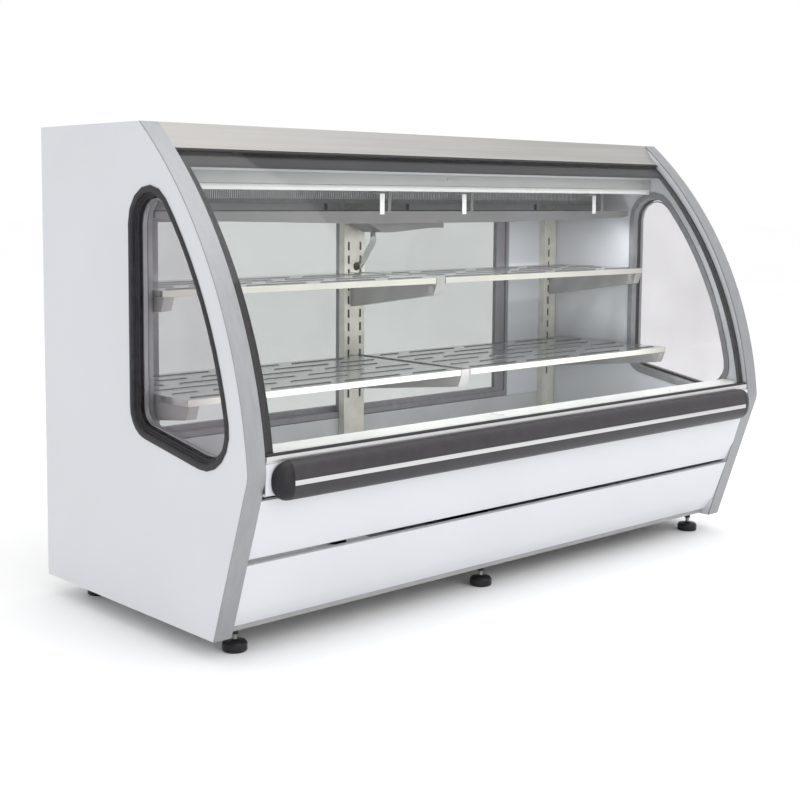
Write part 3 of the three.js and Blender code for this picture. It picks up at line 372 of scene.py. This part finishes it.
# %% Mesh helpers
def settle(name, mesh, material, body="case"):
    """Make a piece from a mesh, paint it and let it ride with its part of the case."""
    mesh.materials.append(material)
    piece = bpy.data.objects.new(name, mesh)
    bpy.context.scene.collection.objects.link(piece)
    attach(piece, body)
    return piece


def from_bm(name, bm, smooth=False):
    """Turn worked geometry into a mesh whose faces all point outwards."""
    bmesh.ops.recalc_face_normals(bm, faces=bm.faces)
    for face in bm.faces:
        face.smooth = smooth
    mesh = bpy.data.meshes.new(name)
    bm.to_mesh(mesh)
    bm.free()
    return mesh


def plate(bm, x0, x1, d0, d1, z0, z1):
    """Add one thin plate, given in millimetres."""
    corners = [bm.verts.new(at(x, d, z)) for x in (x0, x1) for d in (d0, d1) for z in (z0, z1)]
    for loop in ((0, 1, 3, 2), (4, 6, 7, 5), (0, 4, 5, 1), (2, 3, 7, 6), (0, 2, 6, 4), (1, 5, 7, 3)):
        bm.faces.new([corners[i] for i in loop])


def plates(name, rows, material, body="case", soft=0.0):
    """A piece made of plates, with its edges rounded if soft is more than nothing."""
    bm = bmesh.new()
    for row in rows:
        plate(bm, *row)
    if soft:
        bmesh.ops.bevel(bm, geom=bm.edges[:], offset=soft, segments=2, affect="EDGES", profile=0.5)
    return settle(name, from_bm(name, bm), material, body)


def tube(name, points, radius, material, body="case", ridge=0.0, sides=14):
    """A tube along a path; ridge gives it the rings of a corrugated hose."""
    curve = bpy.data.curves.new(name + "_path", "CURVE")
    curve.dimensions = "3D"
    spline = curve.splines.new("BEZIER")
    spline.bezier_points.add(len(points) - 1)
    for knot, point in zip(spline.bezier_points, points):
        knot.co = point
        knot.handle_left_type = knot.handle_right_type = "AUTO"
    curve.resolution_u = 24 if ridge else 10
    guide = bpy.data.objects.new(name + "_guide", curve)
    bpy.context.scene.collection.objects.link(guide)
    line = guide.to_mesh()
    path = [v.co.copy() for v in line.vertices]
    guide.to_mesh_clear()
    bpy.data.objects.remove(guide)
    bm = bmesh.new()
    rings = []
    side = None
    for i, point in enumerate(path):
        ahead = (path[min(i + 1, len(path) - 1)] - path[max(i - 1, 0)]).normalized()
        side = ahead.orthogonal() if side is None else side - ahead * side.dot(ahead)
        side.normalize()
        lift = ahead.cross(side)
        grown = radius + (ridge if i % 2 else 0.0)
        turn = [2 * math.pi * k / sides for k in range(sides)]
        rings.append([bm.verts.new(point + grown * (side * math.cos(a) + lift * math.sin(a))) for a in turn])
    for lower, upper in zip(rings, rings[1:]):
        for k in range(sides):
            bm.faces.new((lower[k], lower[(k + 1) % sides], upper[(k + 1) % sides], upper[k]))
    bm.faces.new(rings[0][::-1])
    bm.faces.new(rings[-1])
    return settle(name, from_bm(name, bm, smooth=True), material, body)


print("mesh helpers ready")

# %% [markdown]
# ## The printed border of the glass
# The curved glass has a dark border fired onto its inner face. It hides the seals at both ends and the lamp
# holder at the top. It follows the same arc as the glass, so it is built from that arc: a strip at each end
# and a band at the top, a hair inside the glass.

# %% Border and seals
ARC_FOOT = Vector((887.5, 485))
ARC_TOP = Vector((531, 1174))
ARC_RADIUS = 1146.0
GLASS = 6.0
BORDER_GAP = 1.3
SEAL_GAP = 5.2
SEAL_THICK = 7.0
SEAL_END = 0.004
middle = (ARC_FOOT + ARC_TOP) / 2
chord = ARC_TOP - ARC_FOOT
reach = math.sqrt(ARC_RADIUS**2 - chord.length_squared / 4)
centre = middle - Vector((chord.y, -chord.x)).normalized() * reach
foot_angle = math.atan2(ARC_FOOT.y - centre.y, ARC_FOOT.x - centre.x)
top_angle = math.atan2(ARC_TOP.y - centre.y, ARC_TOP.x - centre.x)


def on_arc(radius, angle):
    """Depth and height of a point on an arc that shares the glass's centre."""
    return centre.x + radius * math.cos(angle), centre.y + radius * math.sin(angle)


def curved_strip(name, columns, radius, thick, start, end, material, body, keep=None, steps=48):
    """A strip that follows the glass; keep says which cells of its grid are there."""
    bm = bmesh.new()
    grid = []
    for i in range(steps + 1):
        depth, height = on_arc(radius, start + (end - start) * i / steps)
        grid.append([bm.verts.new(at(x, depth, height)) for x in columns])
    for i in range(steps):
        for j in range(len(columns) - 1):
            if keep is None or keep(i / steps, j):
                bm.faces.new((grid[i][j], grid[i][j + 1], grid[i + 1][j + 1], grid[i + 1][j]))
    bmesh.ops.delete(bm, geom=[v for v in bm.verts if not v.link_faces], context="VERTS")
    piece = settle(name, from_bm(name, bm, smooth=True), material, body)
    solid = piece.modifiers.new("sheet", "SOLIDIFY")
    solid.thickness = thick * MM
    solid.offset = 0
    return piece


glass_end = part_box("front_glass")[1].x / MM
BORDER = 30.0
BAND_FOOT = 1132
BAND_SHARE = (math.asin((BAND_FOOT - centre.y) / ARC_RADIUS) - foot_angle) / (top_angle - foot_angle)
curved_strip(
    "glass_border",
    [-glass_end, -glass_end + BORDER, glass_end - BORDER, glass_end],
    ARC_RADIUS - GLASS - BORDER_GAP,
    0.5,
    foot_angle,
    top_angle,
    frit,
    "tilting_glass",
    keep=lambda share, column: column != 1 or share > BAND_SHARE,
)
for side, word in ((-1, "left"), (1, "right")):
    columns = sorted((side * (glass_end - 8), side * (INNER - 0.2)))
    curved_strip(
        "glass_seal_" + word,
        columns,
        ARC_RADIUS - GLASS - SEAL_GAP,
        SEAL_THICK,
        foot_angle + SEAL_END,
        top_angle - SEAL_END,
        rubber,
        "case",
    )
print("glass border: arc of", ARC_RADIUS, "mm about depth", round(centre.x), "height", round(centre.y))


# %% [markdown]
# ## The seal under the roof's lip
# The top edge of the glass closes on a soft black seal under the folded lip of the roof. The seal is an extruded
# rubber, so it is one profile run from end to end. Two thinner profiles ride with the glass: a bead along its
# foot and a cap over its top edge.


# %% Run a profile along the case
def run(name, outline, x0, x1, material, body="case", soft=0.0):
    """A profile of (depth, height) points run along X."""
    bm = bmesh.new()
    ends = [[bm.verts.new(at(x, d, z)) for d, z in outline] for x in (x0, x1)]
    count = len(outline)
    for k in range(count):
        bm.faces.new((ends[0][k], ends[0][(k + 1) % count], ends[1][(k + 1) % count], ends[1][k]))
    bm.faces.new(ends[0][::-1])
    bm.faces.new(ends[1])
    if soft:
        bmesh.ops.bevel(bm, geom=bm.edges[:], offset=soft, segments=2, affect="EDGES", profile=0.5)
    return settle(name, from_bm(name, bm), material, body)


lip_seal = [(522, 1173), (529, 1163), (521, 1158), (512, 1172)]
run("roof_seal", lip_seal, -INNER + 1, INNER - 1, rubber)
bead = [(893.6, 491.4), (892.4, 494.6), (887.2, 497.2), (887.3, 491.4)]
run("glass_bead", bead, -glass_end, glass_end, rubber, "tilting_glass")
cap = [(533.2, 1172.6), (533.4, 1175.4), (529.5, 1177.6), (524.4, 1171.9)]
cap += [(526.6, 1169.9), (530.9, 1174.6), (532.6, 1172.9)]
run("glass_top_cap", cap, -glass_end, glass_end, rubber, "tilting_glass")
print("roof seal, glass bead and top cap in place")

# %% [markdown]
# ## The cold coil
# A finned coil is a stack of thin aluminium plates on a snaking tube. The solid model carries a coarse comb in
# its place. Here the comb is replaced by the real thing: thin fins with folded front edges, end plates, tubes
# and the return bends that join them.

# %% Fins, end plates, tubes and bends
coil_low, coil_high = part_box("evaporator_coil")
coil_rear, coil_front = across("evaporator_coil")
coil_x0, coil_x1 = coil_low.x / MM, coil_high.x / MM
coil_foot, coil_top = coil_low.z / MM, coil_high.z / MM
FIN_PITCH = 6.6
fin_count = int((coil_x1 - coil_x0 - 4) / FIN_PITCH)
fins = []
for i in range(fin_count + 1):
    x = coil_x0 + 2 + i * FIN_PITCH
    fins.append((x, x + 0.5, coil_rear + 2, coil_front - 3, coil_foot + 2, coil_top - 2))
    fins.append((x, x + 2.2, coil_front - 3.6, coil_front - 3, coil_foot + 14, coil_top - 3))
coil = plates("coil_fins", fins, fin_metal)
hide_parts("evaporator_coil")
end_plates = [(x, x + 1.2, coil_rear, coil_front, coil_foot, coil_top) for x in (coil_x0, coil_x1 - 1.2)]
plates("coil_end_plates", end_plates, zinc)
COIL_TUBE = 0.0045
TUBE_END = 4
BEND_REACH = 20
tube_depths = range(int(coil_rear) + 30, int(coil_front), 50)
tube_rows = [(d, z) for z in (coil_foot + 18, coil_top - 16) for d in tube_depths]
for k, (d, z) in enumerate(tube_rows):
    line = [at(x, d, z) for x in (coil_x0 - TUBE_END, 0, coil_x1 + TUBE_END)]
    tube(f"coil_tube_{k}", line, COIL_TUBE, copper)
    if k % 2 == 0:
        far = tube_rows[k + 1][0]
        knots = ((TUBE_END, d), (BEND_REACH, d + 6), (BEND_REACH, far - 6), (TUBE_END, far))
        bend = [at(coil_x1 + out, depth, z) for out, depth in knots]
        tube(f"coil_bend_{k}", bend, COIL_TUBE, copper)
print("coil:", fin_count + 1, "fins at", FIN_PITCH, "mm pitch,", len(tube_rows), "tubes")

# %% [markdown]
# Three white straps rise from the front of the tray and turn back over its edge to meet the coil. The lamp sits
# in a holder, with a socket at each end and three screws along its face.

# %% Straps and lamp fittings
STRAP = 17
STRAP_FOOT, STRAP_TOP, STRAP_SHEET = 1019, 1078, 1.5
straps = []
tray_front = across("drip_tray")[1]
for x in (-184, 144, 748):
    x0, x1 = x - STRAP / 2, x + STRAP / 2
    straps.append((x0, x1, tray_front + 0.4, tray_front + 1.9, STRAP_FOOT, STRAP_TOP))
    straps.append((x0, x1, coil_front, tray_front + 1.9, STRAP_TOP - STRAP_SHEET, STRAP_TOP))
plates("coil_straps", straps, lamp_plastic, soft=0.0003)
lamp_low, lamp_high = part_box("lamp_tube")
lamp_rear, lamp_front = across("lamp_tube")
sockets = []
for side in (-1, 1):
    x0, x1 = sorted((side * (lamp_high.x / MM + 0.4), side * (lamp_high.x / MM + 18)))
    sockets.append((x0, x1, lamp_rear - 2, lamp_front + 1.5, lamp_low.z / MM - 1.5, lamp_high.z / MM))
plates("lamp_sockets", sockets, white_plastic, soft=0.0012)
print("strap plates:", len(straps))


# %% Pan-head screws
def screws(name, places, facing, radius, material=zinc, body="case"):
    """Domed screw heads with a cross recess, all in one piece."""
    bm = bmesh.new()
    turn = facing.to_track_quat("Z", "Y").to_matrix().to_4x4()
    sides = 20
    for point in places:
        rows = []
        for share, lift in ((1.0, 0.0), (1.0, 0.12), (0.86, 0.32), (0.55, 0.46), (0.3, 0.5)):
            loop = []
            for k in range(sides):
                angle = 2 * math.pi * k / sides
                # The recess dips along two crossed grooves near the middle of the head.
                dip = 0.22 if share < 0.6 and (k % 5 == 0) else 0.0
                spot = Vector((math.cos(angle) * share, math.sin(angle) * share, lift - dip)) * radius
                loop.append(bm.verts.new(point + (turn @ spot.to_4d()).to_3d()))
            rows.append(loop)
        for lower, upper in zip(rows, rows[1:]):
            for k in range(sides):
                bm.faces.new((lower[k], lower[(k + 1) % sides], upper[(k + 1) % sides], upper[k]))
        bm.faces.new(rows[0][::-1])
        bm.faces.new(rows[-1])
    return settle(name, from_bm(name, bm, smooth=True), material, body)


FORWARD = Vector((0, -1, 0))
BACKWARD = Vector((0, 1, 0))
holder_front = across("lamp_holder")[1]
lamp_spots = [at(x, holder_front, 1116) for x in (-900, 0, 900)]
screws("lamp_screws", lamp_spots, FORWARD, 0.004)
print("lamp screws:", len(lamp_spots))

# %% [markdown]
# ## Shelf edges and slots
# The slots are laid in staggered rows like bricks, and
# a small lip along the rear side of each one is painted near-black as painted shade, the shade seen down the
# slot, so it reads as a dark line from the front.

# %% Edge strips and slot lips
SLOT_LENGTH, SLOT_LAND, ROW_PITCH, SLOT_EDGE = 205, 41, 76, 25
strips, lips = [], []
for name in named("shelf"):
    low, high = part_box(name)
    rear, front = across(name)
    x0, x1, top = low.x / MM, high.x / MM, high.z / MM
    strips.append((x0 + 1, x1 - 1, front + 0.1, front + 0.9, top - 16.5, top - 0.5))
    for row in range(int((front - rear - 2 * SLOT_EDGE) // ROW_PITCH) + 1):
        depth = front - SLOT_EDGE - row * ROW_PITCH
        x = x0 + SLOT_EDGE - (row % 2) * (SLOT_LENGTH + SLOT_LAND) / 2
        while x < x1 - SLOT_EDGE:
            a, b = max(x, x0 + SLOT_EDGE), min(x + SLOT_LENGTH, x1 - SLOT_EDGE)
            if b - a > SLOT_LAND:
                lips.append((a + 4, b - 4, depth - 7, depth - 5.4, top - 1, top + 2.2))
            x += SLOT_LENGTH + SLOT_LAND
plates("shelf_edge_strips", strips, edge_paint, soft=0.0002)
# The lips are painted near-black as painted shade for the inside of each slot.
plates("shelf_slot_lips", lips, painted_slot_shade)
print("shelf slots:", len(lips))

# %% [markdown]
# A strip painted near-black as painted shade, the shade behind the slots, closes the back of each upright, so
# its slots read as dark marks from the front.

# %% Upright backs
BACK_SHEET = (83, 84)
backs = []
for name in named("standard"):
    low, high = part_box(name)
    backs.append((low.x / MM + 2.4, high.x / MM - 2.4, *BACK_SHEET, low.z / MM + 1, high.z / MM - 1))
# The backs are painted shade: near-black for the shade behind the upright slots.
plates("upright_backs", backs, painted_slot_shade)
print("upright backs:", len(backs))

# %% [markdown]
# ## The drain hose
# Meltwater leaves the tray through a corrugated clear hose that turns into the middle upright. The rings are
# built by growing every second section of a swept tube.

# %% Corrugated hose
SPOUT = (15, 172, 948)
HOLE = (8, 855)
upright_face = across("standard_middle")[1]
route = [
    at(SPOUT[0], SPOUT[1], SPOUT[2] - 0.4),
    at(SPOUT[0], SPOUT[1], SPOUT[2] - 14),
    at(SPOUT[0] - 2.5, SPOUT[1] - 19, 905),
    at(HOLE[0] + 1, upright_face + 24, HOLE[1] + 14),
    at(HOLE[0], upright_face + 8, HOLE[1]),
    at(HOLE[0], upright_face - 14, HOLE[1]),
]
hose = tube("drain_hose_rings", route, 0.0082, hose_plastic, ridge=0.0013, sides=18)
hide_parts("drain_hose")
print("drain hose from height", SPOUT[2], "to", HOLE[1])


# %% [markdown]
# ## Window spacers
# Each end window is two panes with an aluminium spacer between them. The spacer is seen as a bright line just
# inside the rubber. Its outline is read from the pane's own corners and drawn in, so it fits any window shape.


# %% Spacers in the end windows
def window_loop(node):
    """The outline of a window unit as (y, z) points in order round its middle."""
    low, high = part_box(node)
    face = [v.co for v in nodes[node].data.vertices if abs(v.co.x - high.x) < 1e-5]
    spots = {(round(co.y, 5), round(co.z, 5)) for co in face}
    inside = sum((Vector(s) for s in spots), Vector((0, 0))) / len(spots)
    return sorted((Vector(s) for s in spots), key=lambda p: math.atan2(p.y - inside.y, p.x - inside.x))


def drawn_in(loop, amount):
    """The same closed outline moved inwards."""
    moved = []
    for i, point in enumerate(loop):
        before, after = loop[i - 1], loop[(i + 1) % len(loop)]
        ahead = (after - before).normalized()
        moved.append(point + Vector((-ahead.y, ahead.x)) * amount)
    return moved


SPACER = (10.6, 13.4)
PANE = 0.0044
for word in ("left", "right"):
    low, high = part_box("window_unit_" + word)
    outer = window_loop("window_unit_" + word)
    bm = bmesh.new()
    rims = []
    x0, x1 = low.x + PANE, high.x - PANE
    for inset, x in ((SPACER[0], x0), (SPACER[1], x0), (SPACER[1], x1), (SPACER[0], x1)):
        rims.append([bm.verts.new((x, p.x, p.y)) for p in drawn_in(outer, inset * MM)])
    for r in range(4):
        here, there = rims[r], rims[(r + 1) % 4]
        for k in range(len(outer)):
            n = (k + 1) % len(outer)
            bm.faces.new((here[k], here[n], there[n], there[k]))
    settle("window_spacer_" + word, from_bm("window_spacer_" + word, bm), satin)
print("window spacers follow", len(outer), "corners")

# %% [markdown]
# ## The condensing unit
# Behind the rear grille a fan draws air through a condenser. The coarse comb of the solid model is replaced by
# fine fins on copper tubes, and copper pipes join it to the compressor.

# %% Condenser fins and pipes
cond_low, cond_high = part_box("condenser")
cond_rear, cond_front = across("condenser")
cx0, cx1 = cond_low.x / MM, cond_high.x / MM
cz0, cz1 = cond_low.z / MM, cond_high.z / MM
fin_places = [x / 10 for x in range(int(cx0 * 10) + 10, int(cx1 * 10) - 10, 32)]
fins = [(x, x + 0.4, cond_rear + 1, cond_front - 1, cz0 + 2, cz1 - 2) for x in fin_places]
condenser = plates("condenser_fins", fins, fin_metal)
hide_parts("condenser")
frame_rows = [(x, x + 1.5, cond_rear, cond_front, cz0, cz1) for x in (cx0, cx1 - 1.5)]
frame_rows += [(cx0 + 2, cx1 - 2, cond_rear, cond_front, z, z + 1.5) for z in (cz0, cz1 - 1.5)]
plates("condenser_frame", frame_rows, zinc)
COND_TUBE = 0.004
cond_middle = (cond_rear + cond_front) / 2
for k in range(5):
    z = cz0 + 18 + k * 28
    line = [at(x, cond_middle, z) for x in (cx0 - 3, (cx0 + cx1) / 2, cx1 + 3)]
    tube(f"condenser_tube_{k}", line, COND_TUBE, copper)
comp_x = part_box("compressor")[1].x / MM
comp_d = sum(across("compressor")) / 2
pipe = [
    at(comp_x - 14, comp_d, 150),
    at(comp_x + 30, comp_d - 20, 150),
    at(comp_x + 70, comp_d - 90, 175),
    at(cx0 - 20, cond_front + 30, 200),
    at(cx0 - 3, cond_middle, cz1 - 20),
]
tube("discharge_pipe", pipe, COND_TUBE, copper)
print("condenser fins:", len(fins))

# %% [markdown]
# ## Fixings at the back
# The rear grille is held by screws near its edges, and a ring of marks surrounds the thermostat knob, from a
# short mark at its coldest to a long one. Brush strips close the gap where the two doors pass.

# %% Grille screws, dial marks and brushes
grille_low, grille_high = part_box("rear_grille")
grille_rear = across("rear_grille")[0]
rows = [grille_low.z / MM + 10, grille_high.z / MM - 10]
spots = [at(x, grille_rear, z) for x in (-930, -465, 0, 465, 930) for z in rows]
screws("grille_screws", spots, BACKWARD, 0.0042)
knob_low, knob_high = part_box("thermostat_knob")
box_rear = across("control_box")[0]
dial = ((knob_low + knob_high) / 2).xz
MARK_LIFT = 0.0003
mark_foot = BACK - box_rear * MM
bm = bmesh.new()
for k in range(10):
    angle = math.radians(225 - 30 * k)
    out = Vector((math.cos(angle), math.sin(angle)))
    wide = Vector((-out.y, out.x)) * 0.0006
    start, end = dial + out * 0.0215, dial + out * (0.0235 + 0.0002 * k)
    corners = [start - wide, start + wide, end + wide, end - wide]
    lower = [bm.verts.new((c.x, mark_foot, c.y)) for c in corners]
    upper = [bm.verts.new((c.x, mark_foot + MARK_LIFT, c.y)) for c in corners]
    bm.faces.new(upper)
    bm.faces.new(lower[::-1])
    for i in range(4):
        bm.faces.new((lower[i], lower[(i + 1) % 4], upper[(i + 1) % 4], upper[i]))
settle("dial_marks", from_bm("dial_marks", bm), lamp_plastic)
door_low, door_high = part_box("door_frame_right")
door_rear = across("door_frame_right")[0]
x0 = door_low.x / MM
brush = [(x0 + 4, x0 + 10, door_rear - 6, door_rear - 0.3, door_low.z / MM + 8, door_high.z / MM - 8)]
plates("door_brush", brush, rubber, "door_right", soft=0.0005)
print("grille screws:", len(spots))

# %% [markdown]
# ## Levelling feet
# Each foot screws in and out of the base, so its stud carries a thread. A stack of small V rings reads as a
# thread at this size and is much lighter than a true helix.

# %% Stud threads
THREAD_FOOT, THREAD_TOP, HALF_PITCH = 0.0275, 0.0395, 0.0006
THREAD_RADII = (0.0051, 0.0057)
THREAD_SIDES = 18
turns = [2 * math.pi * k / THREAD_SIDES for k in range(THREAD_SIDES)]
for name in named("foot"):
    low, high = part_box(name)
    middle_x, middle_y = (low.x + high.x) / 2, (low.y + high.y) / 2
    bm = bmesh.new()
    rings = []
    z = THREAD_FOOT
    while z < THREAD_TOP:
        for grown in THREAD_RADII:
            spots = [(middle_x + grown * math.cos(a), middle_y + grown * math.sin(a), z) for a in turns]
            rings.append([bm.verts.new(spot) for spot in spots])
            z += HALF_PITCH
    for lower, upper in zip(rings, rings[1:]):
        for k in range(THREAD_SIDES):
            n = (k + 1) % THREAD_SIDES
            bm.faces.new((lower[k], lower[n], upper[n], upper[k]))
    bm.faces.new(rings[0][::-1])
    bm.faces.new(rings[-1])
    settle(name + "_thread", from_bm(name + "_thread", bm), zinc, name + "_body")
print("threads on", len(named("foot")), "feet")

# %% [markdown]
# ## Floor, light and camera
# The case stands in a plain white studio. A white world gives even light from everywhere, two large soft lights
# above and in front shape the folds of the front, a low one lifts its lower half, and the floor catches a soft
# shadow. Two long strips inside the case, one below and in front of the tray and one behind the sill, stand for
# the light that the lamp throws. They light the shelves and are hidden from the camera and from reflections.

# %% Floor
bm = bmesh.new()
bmesh.ops.create_grid(bm, x_segments=24, y_segments=24, size=60)
floor_mesh = bpy.data.meshes.new("studio_floor")
bm.to_mesh(floor_mesh)
bm.free()
floor = bpy.data.objects.new("studio_floor", floor_mesh)
bpy.context.scene.collection.objects.link(floor)
floor.location.z = case_low.z - 0.0005
floor_paint = finish("studio_floor_paint", (0.985, 0.985, 0.985), 0.6, mottle=0.4, change=0.004, grain=60)
floor_mesh.materials.append(floor_paint)
floor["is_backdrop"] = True
print("floor at", round(floor.location.z, 4))


# %% Lights
def soft_light(name, place, target, size, power):
    """A square soft light that faces a point."""
    data = bpy.data.lights.new(name, "AREA")
    data.shape = "SQUARE"
    data.size = size
    data.energy = power
    lamp = bpy.data.objects.new(name, data)
    bpy.context.scene.collection.objects.link(lamp)
    lamp.location = place
    lamp.rotation_euler = (Vector(target) - Vector(place)).to_track_quat("-Z", "Y").to_euler()
    return lamp


world = bpy.data.worlds.new("white_studio")
bpy.context.scene.world = world
world.use_nodes = True
sky = world.node_tree.nodes["Background"]
sky.inputs["Color"].default_value = (1, 1, 1, 1)
sky.inputs["Strength"].default_value = 1.01
soft_light("roof_light", (0.3, -1.2, 4.6), (0.0, 0.0, 0.5), 4.0, 70)
soft_light("front_light", (0.6, -5.5, 3.2), (0.0, 0.0, 0.7), 3.0, 46)
STRIP_LENGTH, STRIP_WIDTH = 1.7, 0.08
for name, place, target, power in (
    ("inside_light", at(0, 455, 985), at(0, 330, 300), 6.5),
    ("sill_light", at(0, 780, 545), at(0, 80, 760), 4.2),
):
    strip = soft_light(name, place, target, STRIP_LENGTH, power)
    strip.data.shape = "RECTANGLE"
    strip.data.size_y = STRIP_WIDTH
    strip.visible_camera = False
    strip.visible_glossy = False
soft_light("low_fill", (-0.6, -4.2, 0.35), (0.0, -0.4, 0.3), 1.6, 10)
bpy.context.scene.view_settings.view_transform = "Standard"

# %% Camera
lens = bpy.data.cameras.new("front_left_view")
camera = bpy.data.objects.new("front_left_view", lens)
bpy.context.scene.collection.objects.link(camera)
lens.sensor_width = 36.0
lens.lens = 61.3
lens.shift_x = 0.027
lens.shift_y = -0.0865
turn = Matrix.Rotation(math.radians(-42.2), 4, "Z")
tip = Matrix.Rotation(math.radians(90 - 5.51), 4, "X")
roll = Matrix.Rotation(math.radians(0.37), 4, "Z")
camera.matrix_world = Matrix.Translation((-2.759, -2.794, 1.0606)) @ turn @ tip @ roll
bpy.context.scene.camera = camera
print("camera at", [round(c, 2) for c in camera.location])

# %% [markdown]
# ## The size at the end
# The dressed case must stay as large as its solid model, so its size is printed as the solid model's was.

# %% Sizes and the last line
bpy.context.view_layer.update()
low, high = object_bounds()
print("visual size", [round(b - a, 4) for a, b in zip(low, high)])
